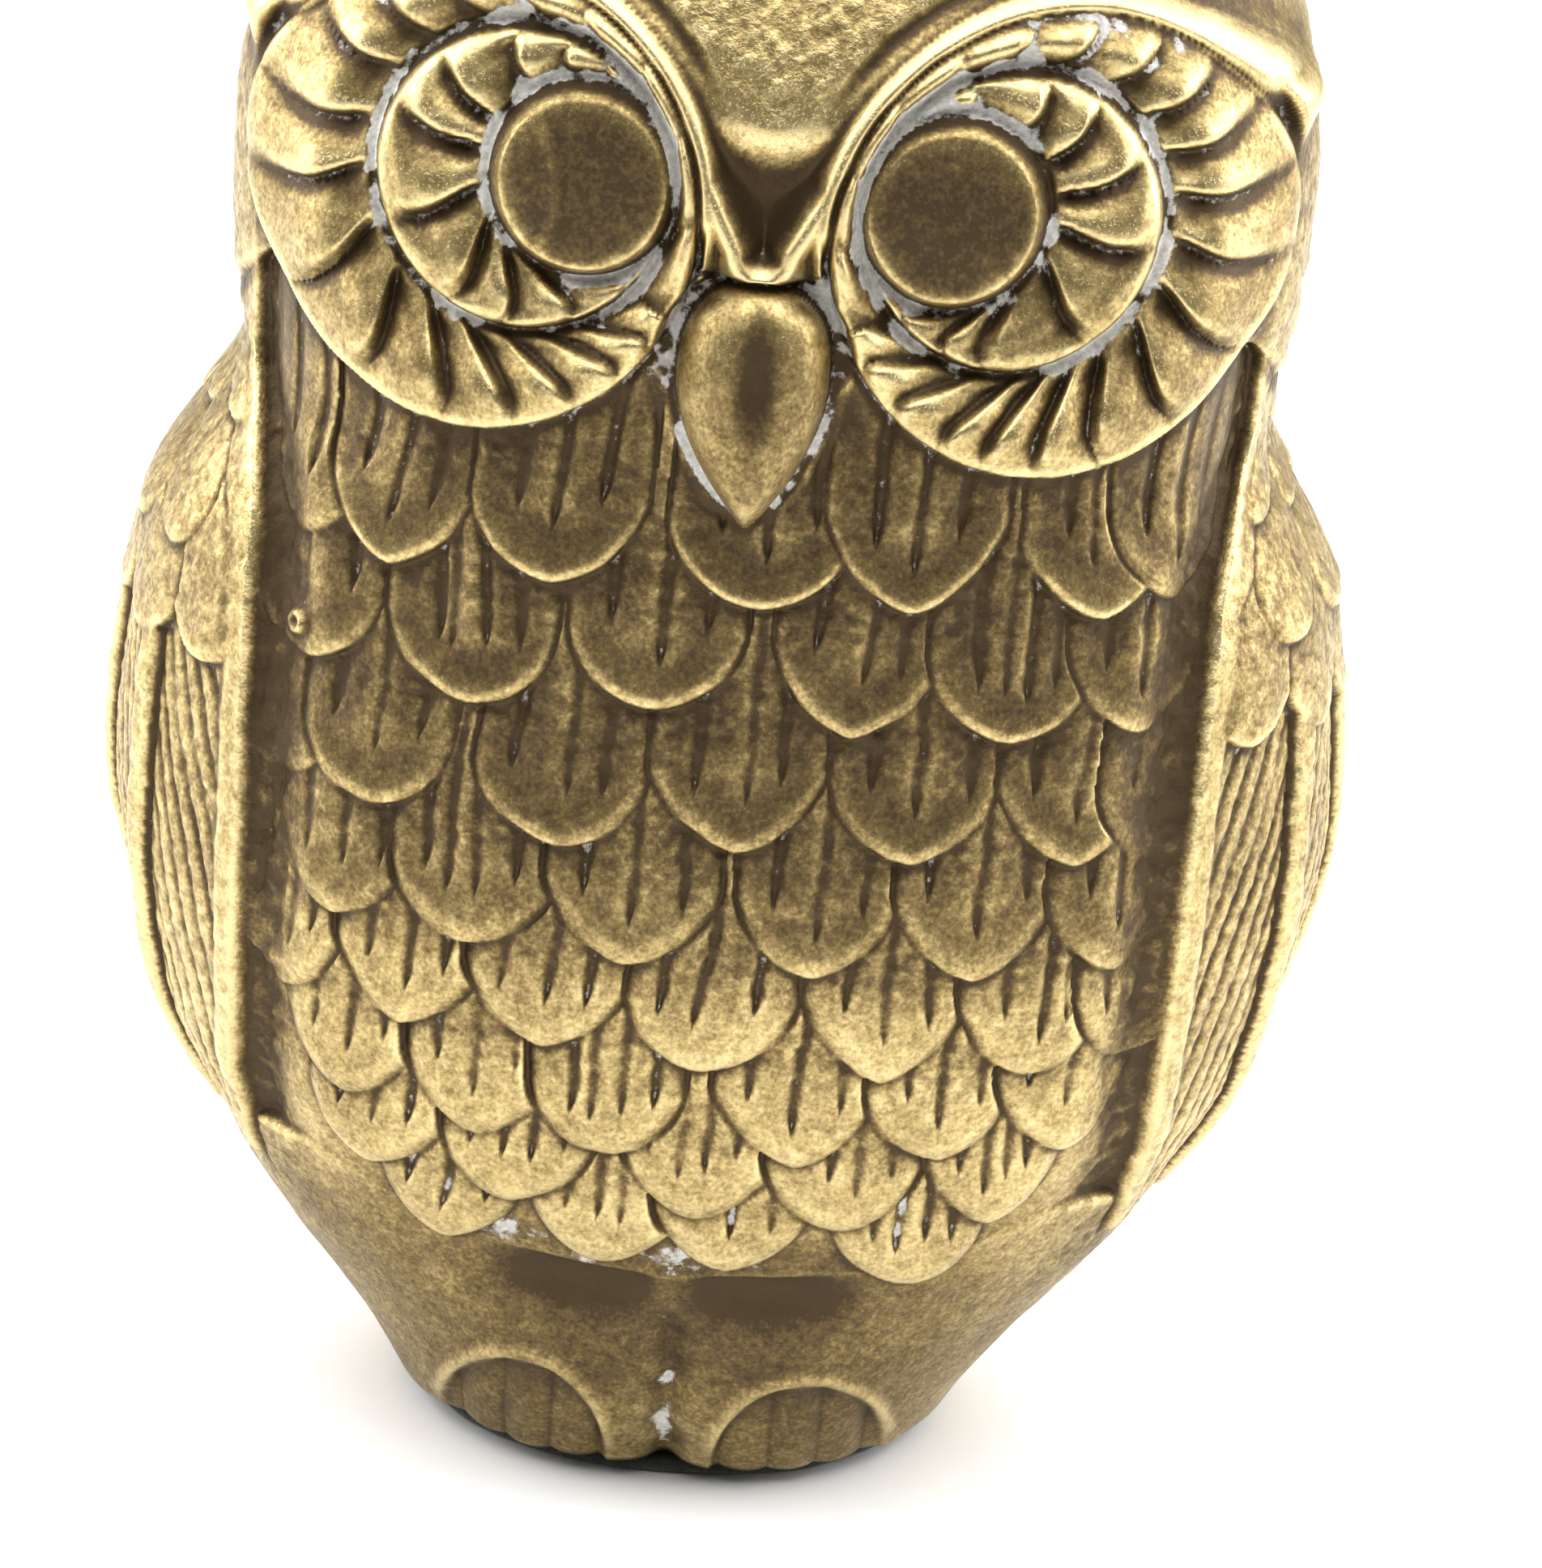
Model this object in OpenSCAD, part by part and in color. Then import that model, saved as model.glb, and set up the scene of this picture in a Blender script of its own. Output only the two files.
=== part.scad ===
// Owl figurine: two hollow brass castings brazed together down both sides
// and over the crown, with a soldered base plate and a felt pad under it.
// Origin: middle of the felt's underside. +Z is up, the face looks along -Y.

/* [Outline] */
// Height from the underside of the felt to the crown
overall_h = 106; // [88:1:128]
// Width across the wings, the widest place
body_w = 75; // [62:1:90]
// Depth from the seam to the belly
belly_d = 28.5; // [23:0.5:35]
// Depth from the seam to the middle of the back
back_d = 26.5; // [22:0.5:32]
// Width of the neck
neck_w = 60.4; // [50:0.2:73]
// Width of the head
head_w = 61.6; // [51:0.2:74]
// Depth from the seam to the face
face_d = 26.2; // [21:0.2:32]
// Width of the foot of the casting
foot_w = 34.6; // [28:0.2:41]
// Depth from the seam to the toes
toe_d = 16.5; // [13:0.5:20]
// Depth from the seam to the tip of the tail
tail_d = 16; // [13:0.5:19]

/* [Face] */
// Radius of each facial disc
disc_r = 12.6; // [10:0.2:15]
// Width of the bridge between the two discs
bridge_w = 7; // [5:0.2:9]
// How far the rim of a disc stands out
disc_h = 1.8; // [1:0.1:2.4]
// Radius of each eye boss
eye_r = 4.8; // [3.8:0.2:6]
// How far an eye boss stands out
eye_h = 1.4; // [0.8:0.1:2]
// Length of the beak
beak_l = 13.4; // [11:0.2:16.2]
// Width of the beak
beak_w = 8.6; // [7:0.2:10.4]
// How far the beak stands out
beak_h = 4; // [2.5:0.1:5]
// How far the brow stands out
brow_h = 1.5; // [0.8:0.1:2]

/* [Body relief] */
// Distance from the middle of the breast to the front edge of a wing
wing_x = 28; // [23:0.2:31]
// Depth of the groove beside the front edge of a wing
wing_groove = 1.3; // [0.6:0.1:1.6]
// Width of the tail
tail_w = 20; // [16:0.5:25]
// How far the tail stands out
tail_h = 1.4; // [0.8:0.1:2]

/* [Walls and joints] */
// Thickness of the cast wall
wall = 2.6; // [2:0.1:3.2]
// Thickness of the brazing filler between the castings
seam_t = 0.4; // [0.3:0.05:0.6]
// Thickness of the base plate
plate_t = 2; // [1.6:0.1:2.4]
// Width of the casting's rim around the base plate
rim_w = 2.4; // [2:0.1:3]
// Width of the ledge that the base plate seats on
ledge_w = 1.4; // [1:0.1:1.8]
// Gap around the base plate, filled with solder
solder_gap = 0.25; // [0.15:0.05:0.4]
// Diameter of the vent hole in the base plate
vent_d = 3; // [2:0.1:4]
// Thickness of the felt
felt_t = 1; // [0.8:0.1:1.4]
// How far the felt lies inside the edge of the casting
felt_inset = 1.2; // [0.8:0.1:1.6]

/* [Hidden] */

// Mesh density: rows up the owl, columns round each half
body_rows = 48;
crown_rows = 18;
front_cols = 64;
back_cols = 36;
rows = body_rows + crown_rows;

foot_z = felt_t;                 // underside of the castings
ledge_z = foot_z + plate_t;      // underside of the ledge
cast_h = overall_h - foot_z;     // height of the castings
brow_z = foot_z + 0.75 * cast_h; // where the crown begins to close
crown_pow = 2.2;                 // 2 closes as an ellipse, more is squarer
wall_flat = 1.25 * wall;         // wall measured level, through a slope

// The outline's stations: share of the height, half width, depth in front,
// depth behind, and how square the section is.
stations = [
    [0.00, foot_w / 2, toe_d, tail_d, 2.2],
    [0.03, 0.65 * foot_w / 2 + 0.21 * body_w / 2, toe_d + 1.4, tail_d + 1.2, 2.2],
    [0.16, 0.6 * body_w / 2 + 0.38 * foot_w / 2, 0.8 * belly_d, 0.78 * back_d, 2.3],
    [0.26, 0.93 * body_w / 2, 0.92 * belly_d, 0.92 * back_d, 2.2],
    [0.39, body_w / 2, belly_d, back_d, 2.1],
    [0.52, 0.96 * body_w / 2, 0.97 * belly_d, 0.97 * back_d, 2.2],
    [0.64, neck_w / 2, 0.4 * belly_d + 0.6 * face_d, 0.92 * back_d, 2.5],
    [0.75, head_w / 2, face_d, 0.94 * back_d, 2.7]
];
last = len(stations) - 1;

// Places on the face, as heights
disc_x = disc_r + bridge_w / 2;
disc_z = foot_z + 0.762 * cast_h;
eye_x = disc_x - 0.48 * disc_r;
eye_z = disc_z + 2.3;
beak_z = foot_z + 0.67 * cast_h;
tail_top = foot_z + 0.36 * cast_h;
wing_low = foot_z + 0.13 * cast_h;
wing_high = foot_z + 0.6 * cast_h;

// ---- interpolation along the outline ----

function share(i) = stations[i][0];
function chord(i, k) = (stations[i + 1][k] - stations[i][k]) / (share(i + 1) - share(i));

// Slope at a station that never overshoots its neighbours
function slope(i, k) =
    i == 0 ? chord(0, k) :
    i == last ? 0 :
    let (a = chord(i - 1, k), b = chord(i, k))
    a * b <= 0 ? 0 : 2 * a * b / (a + b);

function span_of(s, i = 0) = i >= last - 1 || s < share(i + 1) ? i : span_of(s, i + 1);

// Value k of the outline at share s of the height
function outline(s, k) =
    let (
        i = span_of(s),
        w = share(i + 1) - share(i),
        t = min(max((s - share(i)) / w, 0), 1),
        rise = t * t * (3 - 2 * t)
    )
    stations[i][k] * (1 - rise) + stations[i + 1][k] * rise
        + w * t * (1 - t) * ((1 - t) * slope(i, k) - t * slope(i + 1, k));

function ease(t) = t <= 0 ? 0 : t >= 1 ? 1 : t * t * (3 - 2 * t);

// 1 inside radius r of a centre, falling to 0 over the width `soft`
function pad(d, r, soft) = ease((r - d) / soft + 0.5);

// 0 up to `from`, rising to 1 at `to`
function ramp(v, from, to) = ease((v - from) / (to - from));

// A ridge of half width w along a line that is d away
function ridge(d, w) = d >= w ? 0 : pow(cos(90 * d / w), 2);

// ---- sections ----

// Radius of a section at angle `ang` from straight ahead or behind
function section_r(ang, a, b, n) =
    pow(pow(abs(sin(ang)) / a, n) + pow(abs(cos(ang)) / b, n), -1 / n);

// A point of a half section; side is -1 for the front and 1 for the back
function section_point(ang, a, b, n, z, side) =
    let (r = section_r(ang, a, b, n))
    [r * sin(ang), side * (seam_t / 2 + r * abs(cos(ang))), z];

// Angle of column j; the first and last columns lie in the seam
function column(j, cols) = -90 + 180 * j / cols;

// ---- relief, as a distance outward ----

function face_relief(x, z) =
    let (
        ax = abs(x),
        dd = norm([ax - disc_x, z - disc_z]),
        de = norm([ax - eye_x, z - eye_z]),
        dish = 0.45 + 0.55 * ramp(dd, eye_r, disc_r),
        inward = disc_x - ax + 0.8 * (z - disc_z)
    )
    disc_h * pad(dd, disc_r, 2.4) * dish
        + eye_h * pad(de, eye_r, 2)
        + brow_h * ridge(abs(dd - disc_r + 0.4), 2.6) * ramp(inward, -disc_r / 2, disc_r);

// An almond, blunt above and pointed below
function beak_relief(x, z) =
    let (
        t = (z - beak_z) / (beak_l / 2),
        half = beak_w / 2 * sqrt(max(1 - t * t, 0)) * (1 + 0.2 * t),
        across = half < 0.3 ? 1 : min(abs(x) / half, 1)
    )
    beak_h * cos(90 * across) * ramp(abs(t), 1, 0.5);

function groove_relief(x, z) =
    let (
        inside = (wing_x - abs(x)) / 7,
        level = ramp(z, wing_low, wing_low + 8) * ramp(z, wing_high, wing_high - 6)
    )
    inside < 0 || inside > 1 ? 0 : -wing_groove * level * (1 - inside) * ease(inside * 6);

function front_relief(x, z) = face_relief(x, z) + beak_relief(x, z) + groove_relief(x, z);

function tail_relief(x, z) =
    tail_h * pad(abs(x), tail_w / 2, 3) * ramp(z, tail_top, tail_top - 4) * ramp(z, foot_z, foot_z + 2);

function relief(x, z, side) = side < 0 ? front_relief(x, z) : tail_relief(x, z);

// ---- rows ----

// Share of the height of outer row i; the second row is level with the ledge
ledge_s = plate_t / cast_h;
function row_share(i) =
    i == 0 ? 0 : i == 1 ? ledge_s :
    ledge_s + (share(last) - ledge_s) * (i - 1) / (body_rows - 1);

// How far the crown has closed at row i, as an angle from 0 to 90
function crown_angle(i) = i < body_rows ? 0 : 90 * (i - body_rows + 1) / (crown_rows + 1);

function closing(ang) = pow(1 - pow(sin(ang), crown_pow), 1 / crown_pow);

// The crown of the cavity is lower than the outer crown by the wall
function row_z(i, inset) =
    i < body_rows ? foot_z + row_share(i) * cast_h
                  : brow_z + (overall_h - inset - brow_z) * sin(crown_angle(i));

// One row of a half shell, from seam to seam
function row_points(i, cols, side, inset, flat) =
    let (
        s = min(row_share(min(i, body_rows - 1)), share(last)),
        c = closing(crown_angle(i)),
        a = (outline(s, 1) - flat) * c,
        b = (outline(s, side < 0 ? 2 : 3) - flat) * c,
        n = outline(s, 4),
        z = row_z(i, inset)
    )
    [for (j = [0:cols])
        let (p = section_point(column(j, cols), a, b, n, z, side))
        inset > 0 ? p : [p.x, p.y + side * relief(p.x, z, side) * ease(4 * abs(cos(column(j, cols)))), z]];

// Outline of the foot, moved in by `flat`, at height z
function foot_row(cols, side, flat, z) =
    [for (j = [0:cols])
        section_point(column(j, cols), foot_w / 2 - flat,
            (side < 0 ? toe_d : tail_d) - flat, stations[0][4], z, side)];

// The cavity has half as many columns, and half as many rows above the ledge
inner_rows = [for (i = [2:2:rows - 2]) i];
mates = concat([0, 1, 2], inner_rows);

function inner_row(k, cols, side) =
    k == 0 ? foot_row(cols, side, rim_w, foot_z) :
    k == 1 ? foot_row(cols, side, rim_w, ledge_z) :
    k == 2 ? foot_row(cols, side, rim_w + ledge_w, ledge_z) :
    row_points(inner_rows[k - 3], cols, side, wall, wall_flat);

function join_rows(rows_of_points) = [for (r = rows_of_points) each r];

// ---- a half shell as one closed polyhedron ----

module half_shell(cols, side) {
    half = cols / 2;
    in_rows = len(mates);
    outer = join_rows([for (i = [0:rows - 1]) row_points(i, cols, side, 0, 0)]);
    inner = join_rows([for (k = [0:in_rows - 1]) inner_row(k, half, side)]);
    poles = [[0, side * seam_t / 2, overall_h], [0, side * seam_t / 2, overall_h - wall]];
    base_in = len(outer);
    pole_out = base_in + len(inner);
    pole_in = pole_out + 1;
    function o(i, j) = i * (cols + 1) + j;
    function q(k, j) = base_in + k * (half + 1) + j;
    skin = [for (i = [0:rows - 2], j = [0:cols - 1])
        each [[o(i, j), o(i + 1, j), o(i + 1, j + 1)], [o(i, j), o(i + 1, j + 1), o(i, j + 1)]]];
    skin_top = [for (j = [0:cols - 1]) [o(rows - 1, j), pole_out, o(rows - 1, j + 1)]];
    core = [for (k = [0:in_rows - 2], j = [0:half - 1])
        each [[q(k, j), q(k, j + 1), q(k + 1, j + 1)], [q(k, j), q(k + 1, j + 1), q(k + 1, j)]]];
    core_top = [for (j = [0:half - 1]) [q(in_rows - 1, j), q(in_rows - 1, j + 1), pole_in]];
    // Foot rim: each column of the cavity meets two of the outside
    rim = [for (j = [0:half - 1])
        each [[o(0, 2 * j), o(0, 2 * j + 1), q(0, j)],
              [o(0, 2 * j + 1), o(0, 2 * j + 2), q(0, j)],
              [o(0, 2 * j + 2), q(0, j + 1), q(0, j)]]];
    // Seam faces, one at each end of the rows
    seam_a = [for (k = [0:in_rows - 2])
        each concat(
            [for (i = [mates[k]:1:mates[k + 1] - 1]) [o(i, 0), q(k, 0), o(i + 1, 0)]],
            [[q(k, 0), q(k + 1, 0), o(mates[k + 1], 0)]])];
    seam_b = [for (k = [0:in_rows - 2])
        each concat(
            [for (i = [mates[k]:1:mates[k + 1] - 1]) [o(i + 1, cols), q(k, half), o(i, cols)]],
            [[q(k + 1, half), q(k, half), o(mates[k + 1], cols)]])];
    tip_a = tip_faces(o(rows - 2, 0), o(rows - 1, 0), q(in_rows - 1, 0), pole_out, pole_in, false);
    tip_b = tip_faces(o(rows - 2, cols), o(rows - 1, cols), q(in_rows - 1, half), pole_out, pole_in, true);
    faces = concat(skin, skin_top, core, core_top, rim, seam_a, seam_b, tip_a, tip_b);
    polyhedron(concat(outer, inner, poles),
        side < 0 ? faces : [for (f = faces) [f[2], f[1], f[0]]]);
}

// Seam triangles between the last rows and the two poles
function tip_faces(o1, o2, q1, pole_out, pole_in, flip) =
    let (tris = [[o1, q1, o2], [o2, q1, pole_in], [o2, pole_in, pole_out]])
    flip ? [for (t = tris) [t[2], t[1], t[0]]] : tris;

// ---- flat pieces ----

// Half of the seam's outline in the plane of the seam, from foot to crown
function seam_side(cols, inset) =
    inset > 0 ? concat([for (k = [0:len(mates) - 1]) inner_row(k, cols / 2, -1)[cols / 2]],
                       [[0, 0, overall_h - wall]])
              : concat([for (i = [0:rows - 1]) row_points(i, cols, -1, 0, 0)[cols]],
                       [[0, 0, overall_h]]);

function reversed(list) = [for (i = [len(list) - 1:-1:0]) list[i]];

// Closed outline of the foot, moved in by `flat`, with a seam_t gap bridged
function foot_outline(flat) =
    [for (p = concat(foot_row(front_cols / 2, -1, flat, 0),
                     reversed(foot_row(back_cols / 2, 1, flat, 0)))) [p.x, p.y]];

// ---- the pieces ----

module front_casting() {
    color("goldenrod") half_shell(front_cols, -1);
}

module back_casting() {
    color("darkgoldenrod") half_shell(back_cols, 1);
}

module seam_braze() {
    out_side = seam_side(front_cols, 0);
    in_side = seam_side(front_cols, 1);
    right = [for (p = out_side) [p.x, p.z]];
    left = [for (p = reversed(out_side)) if (p.x > 0) [-p.x, p.z]];
    in_left = [for (p = in_side) if (p.x > 0) [-p.x, p.z]];
    in_right = [for (p = reversed(in_side)) [p.x, p.z]];
    color("gold") translate([0, seam_t / 2, 0]) rotate([90, 0, 0])
        linear_extrude(seam_t) polygon(concat(right, left, in_left, in_right));
}

module base_plate() {
    color("khaki") translate([0, 0, foot_z]) difference() {
        linear_extrude(plate_t) polygon(foot_outline(rim_w + solder_gap));
        translate([0, 0, -1]) cylinder(h = plate_t + 2, d = vent_d, $fn = 48);
    }
}

module base_solder() {
    color("silver") translate([0, 0, foot_z]) linear_extrude(plate_t) difference() {
        polygon(foot_outline(rim_w));
        polygon(foot_outline(rim_w + solder_gap));
    }
}

module felt_pad() {
    color("darkgreen") linear_extrude(felt_t) polygon(foot_outline(felt_inset));
}

front_casting();
back_casting();
seam_braze();
base_plate();
base_solder();
felt_pad();
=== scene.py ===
"""Owl figurine in antiqued cast brass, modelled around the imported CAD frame.

Shapes are worked out in millimetres and turned into metres when a mesh is made.
The owl faces -Y, +Z is up and the felt's underside is at z = 0.
"""
import math

import bpy
import numpy as np
from mathutils import Matrix, Vector


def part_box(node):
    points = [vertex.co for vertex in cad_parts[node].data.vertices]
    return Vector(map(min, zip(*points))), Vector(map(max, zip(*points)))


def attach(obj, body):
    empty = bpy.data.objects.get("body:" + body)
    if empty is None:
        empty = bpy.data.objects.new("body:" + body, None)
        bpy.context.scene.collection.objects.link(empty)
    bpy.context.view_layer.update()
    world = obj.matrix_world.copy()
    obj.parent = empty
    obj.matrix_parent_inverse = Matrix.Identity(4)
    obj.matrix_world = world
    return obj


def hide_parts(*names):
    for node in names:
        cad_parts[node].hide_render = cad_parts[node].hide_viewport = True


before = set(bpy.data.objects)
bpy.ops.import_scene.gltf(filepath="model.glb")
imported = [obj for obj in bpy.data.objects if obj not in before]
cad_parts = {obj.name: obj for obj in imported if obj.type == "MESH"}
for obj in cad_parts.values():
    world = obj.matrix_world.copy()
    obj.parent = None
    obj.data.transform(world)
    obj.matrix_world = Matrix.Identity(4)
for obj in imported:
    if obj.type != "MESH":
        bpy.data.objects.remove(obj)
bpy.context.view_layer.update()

MM = 0.001


def box_mm(node):
    """A CAD node's lowest and highest corners in millimetres."""
    low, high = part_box(node)
    return np.array(low) / MM, np.array(high) / MM


# ---- sizes, from the CAD frame where it gives them ----

back_low, back_high = box_mm("back_casting")
plate_low, plate_high = box_mm("base_plate")
solder_low, solder_high = box_mm("base_solder")
seam_low, seam_high = box_mm("seam_braze")
front_low = box_mm("front_casting")[0]
felt_high = box_mm("felt_pad")[1]

body_w = back_high[0] - back_low[0]
overall_h = back_high[2]
foot_z = front_low[2]
cast_h = overall_h - foot_z
seam_t = seam_high[1] - seam_low[1]

belly_d, back_d = 28.5, 26.5
neck_w = 60.4
head_w, face_d = 61.6, 26.2
foot_w, toe_d, tail_d = 34.6, 16.5, 16.0
foot_pow = 2.2
wall = 2.6
vent_d = 3.0
brow_z = foot_z + 0.75 * cast_h
CROWN_POW = 2.2
# How far the pole of the castings and the seam stands over the CAD's crown
POLE_LIFT = 0.35

# Share of the height, half width, depth in front, depth behind, squareness
STATIONS = np.array([
    [0.00, foot_w / 2, toe_d, tail_d, foot_pow],
    [0.03, 0.65 * foot_w / 2 + 0.21 * body_w / 2, toe_d + 1.4, tail_d + 1.2, 2.2],
    [0.16, 0.6 * body_w / 2 + 0.38 * foot_w / 2, 0.8 * belly_d, 0.78 * back_d, 2.3],
    [0.26, 0.93 * body_w / 2, 0.92 * belly_d, 0.92 * back_d, 2.2],
    [0.39, body_w / 2, belly_d, back_d, 2.1],
    [0.52, 0.96 * body_w / 2, 0.97 * belly_d, 0.97 * back_d, 2.2],
    [0.64, neck_w / 2, 0.4 * belly_d + 0.6 * face_d, 0.92 * back_d, 2.5],
    [0.75, head_w / 2, face_d, 0.94 * back_d, 2.7],
])

# ---- small maths ----


def ramp(v, start, end):
    """0 at start, 1 at end, smooth between; start may be above end."""
    t = np.clip((v - start) / (end - start), 0, 1)
    return t * t * (3 - 2 * t)


def bell(v, width):
    return np.exp(-((v / width) ** 2))


def unit(v):
    return np.clip(v, 0, 1)


def mix(a, b, t):
    return a * (1 - t) + b * t


def outline(share, column):
    """The CAD outline's value at a share of the height."""
    at = STATIONS[:, 0]
    values = STATIONS[:, column]
    chord = np.diff(values) / np.diff(at)
    slope = np.zeros(len(at))
    slope[0] = chord[0]
    for i in range(1, len(at) - 1):
        a, b = chord[i - 1], chord[i]
        slope[i] = 0 if a * b <= 0 else 2 * a * b / (a + b)
    share = np.clip(share, 0, at[-1])
    i = np.clip(np.searchsorted(at, share, side="right") - 1, 0, len(at) - 2)
    width = at[i + 1] - at[i]
    t = unit((share - at[i]) / width)
    rise = t * t * (3 - 2 * t)
    bend = width * t * (1 - t) * ((1 - t) * slope[i] - t * slope[i + 1])
    return mix(values[i], values[i + 1], rise) + bend


def noise(points, scale, seed):
    """Smooth value noise, -1 to 1, with features of about `scale` mm."""
    table = np.random.default_rng(seed).random((32, 32, 32))
    p = points / scale + 100.0
    cell = np.floor(p).astype(int)
    t = p - cell
    t = t * t * (3 - 2 * t)
    total = np.zeros(points.shape[:-1])
    for corner in range(8):
        step = np.array([corner & 1, corner >> 1 & 1, corner >> 2 & 1])
        weight = np.prod(np.where(step, t, 1 - t), axis=-1)
        at = (cell + step) % 32
        total += weight * table[at[..., 0], at[..., 1], at[..., 2]]
    return total * 2 - 1


def blur(field, rows, cols):
    """Box blur run three times, close to a Gaussian."""
    for axis, size in ((0, rows), (1, cols)):
        half = max(int(round(size / 2)), 1)
        for _ in range(3):
            pad = [(0, 0), (0, 0)]
            pad[axis] = (half + 1, half)
            run = np.cumsum(np.pad(field, pad, mode="edge"), axis=axis)
            count = run.shape[axis]
            upper = np.take(run, range(2 * half + 1, count), axis=axis)
            lower = np.take(run, range(0, count - 2 * half - 1), axis=axis)
            field = (upper - lower) / (2 * half + 1)
    return field


# ---- the smooth half shells that the relief is laid on ----

# One row or column in ten is kept on the plain inside of a casting
INNER_STEP = 10
# About how long the columns and the rows are, in mm
BODY_RUN, HALF_ROUND = 80.0, 118.0
BODY_ROWS = 501
CROWN_ROWS = 160
FRONT_COLS = 760
BACK_COLS = 560


def row_places(inset):
    """Heights of the rows, how far the crown has closed, and the outline's shares."""
    share = np.linspace(0, STATIONS[-1, 0], BODY_ROWS)
    angle = np.linspace(0, math.pi / 2, CROWN_ROWS + 2)[1:-1]
    z = np.concatenate([
        foot_z + share * cast_h,
        brow_z + (overall_h - inset - brow_z) * np.sin(angle),
    ])
    closing = np.concatenate([
        np.ones(BODY_ROWS),
        (1 - np.sin(angle) ** CROWN_POW) ** (1 / CROWN_POW),
    ])
    shares = np.concatenate([share, np.full(CROWN_ROWS, STATIONS[-1, 0])])
    return z, closing, shares


def half_surface(side, cols, inset=0.0):
    """Rows by columns of points on a half shell, from seam to seam."""
    z, closing, shares = row_places(inset)
    a = (outline(shares, 1) - inset) * closing
    b = (outline(shares, 2 if side < 0 else 3) - inset) * closing
    n = outline(shares, 4)[:, None]
    angle = np.linspace(-math.pi / 2, math.pi / 2, cols + 1)
    s, c = np.sin(angle)[None], np.abs(np.cos(angle))[None]
    c[:, 0] = c[:, -1] = 0.0
    radius = ((np.abs(s) / a[:, None]) ** n + (c / b[:, None]) ** n) ** (-1 / n)
    x = radius * s
    y = side * (seam_t / 2 + radius * c)
    return np.stack([x, y, np.broadcast_to(z[:, None], x.shape)], axis=-1)


def surface_normals(points, side):
    """Outward normals; along the seam they lie in the seam's plane."""
    up = np.gradient(points, axis=0)
    across = np.gradient(points, axis=1)
    normal = np.cross(across, up) * (1 if side < 0 else -1)
    normal[:, 0, 1] = normal[:, -1, 1] = 0.0
    length = np.linalg.norm(normal, axis=-1, keepdims=True)
    return normal / np.maximum(length, 1e-9)


def run_from_middle(points):
    """Distance along each row from its middle, always positive."""
    step = np.linalg.norm(np.diff(points, axis=1), axis=-1)
    run = np.concatenate([np.zeros((len(points), 1)), np.cumsum(step, axis=1)], axis=1)
    return np.abs(run - run[:, run.shape[1] // 2][:, None])


front = half_surface(-1, FRONT_COLS)
back = half_surface(1, BACK_COLS)
row_z = front[:, 0, 2]
front_run = run_from_middle(front)
back_run = run_from_middle(back)
seam_at = front_run[:, -1][:, None]
back_at = seam_at + back_run[:, -1][:, None]


def arc_at(x, z):
    """Distance round the breast to the place with this x at this height."""
    row = int(np.argmin(np.abs(row_z - z)))
    half = front.shape[1] // 2
    return math.copysign(np.interp(abs(x), front[row, half:, 0], front_run[row, half:]), x)


# ---- face ----

EYE = (10.1, 83.8, 5.15)
RING = (13.5, 83.3, 8.2)
DISC = (16.3, 81.9, 12.9)
BEAK_MID, BEAK_TOP, BEAK_TIP, BEAK_HALF = 73.9, 79.4, 65.2, 4.4
FACE_LIFT = 0.8
RIM_H, RING_H, EYE_H, BROW_H = 2.5, 2.1, 1.7, 2.5
# The brow's crest runs this far outside the disc, then straight down to the beak
BROW_OUT = 0.25
TAIL_TOP, TAIL_LOW = np.array([3.25, 84.2]), np.array([1.5, 81.0])
# The angles at the beak between which each ring of petals runs
RING_START, RING_END = -157, 205

# Degrees of the petals' crests about each circle's centre, from the top round
# the outer side to the beak; the owl's left and right are not quite alike
OUTER_CRESTS = {
    1: (205, 186, 168, 148, 128, 110, 92, 75, 57, 41, 22, -1,
        -25, -48, -69, -86, -100, -112, -128, -141, -155),
    -1: (205, 184, 163, 143, 124, 105, 86, 66, 47, 23, -1, -30, -58, -81, -100, -117, -131, -143, -157),
}
INNER_CRESTS = {
    1: (205, 188, 170, 151, 134, 118, 84, 62, 31, -5, -52, -94, -112, -130, -157),
    -1: (205, 186, 168, 150, 130, 110, 88, 53, 27, -23, -61, -86, -111, -136, -157),
}


def distance(x, z, circle):
    return np.hypot(x - circle[0], z - circle[1])


def petals(x, z, side, inner, outer, crests, drift, bow):
    """Place across a ring of overlapping petals, and within one petal.

    A petal starts at 0, deep under the crest of the one before, and ends at
    its own crest at 1. The last value tells the petals apart.
    """
    d_in = distance(x, z, inner) - inner[2]
    d_out = outer[2] - distance(x, z, outer)
    across = unit(d_in / np.maximum(d_in + d_out, 1e-6))
    angle = np.degrees(np.arctan2(z - outer[1], x - outer[0]))
    angle = np.where(angle < RING_START, angle + 360, angle)
    shift = drift * (0.4 - across) - bow * (1 - (2 * across - 1) ** 2) + bow * 0.5
    angle = np.clip(angle - shift, RING_START + 0.1, RING_END - 0.1)
    t = np.zeros_like(x)
    number = np.zeros_like(x)
    for s in (1, -1):
        edges = np.array(crests[s][::-1], float)
        i = np.clip(np.searchsorted(edges, angle, side="right") - 1, 0, len(edges) - 2)
        t = np.where(side == s, 1 - (angle - edges[i]) / (edges[i + 1] - edges[i]), t)
        number = np.where(side == s, i + 0.5 * s, number)
    return across, unit(t), number, d_in, d_out


def petal(t, fall):
    """Height across a petal: a round back, highest past its middle."""
    return np.sin(unit(t / 0.66) * math.pi / 2) ** 0.9 * ramp(t, 1.03, fall)


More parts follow.
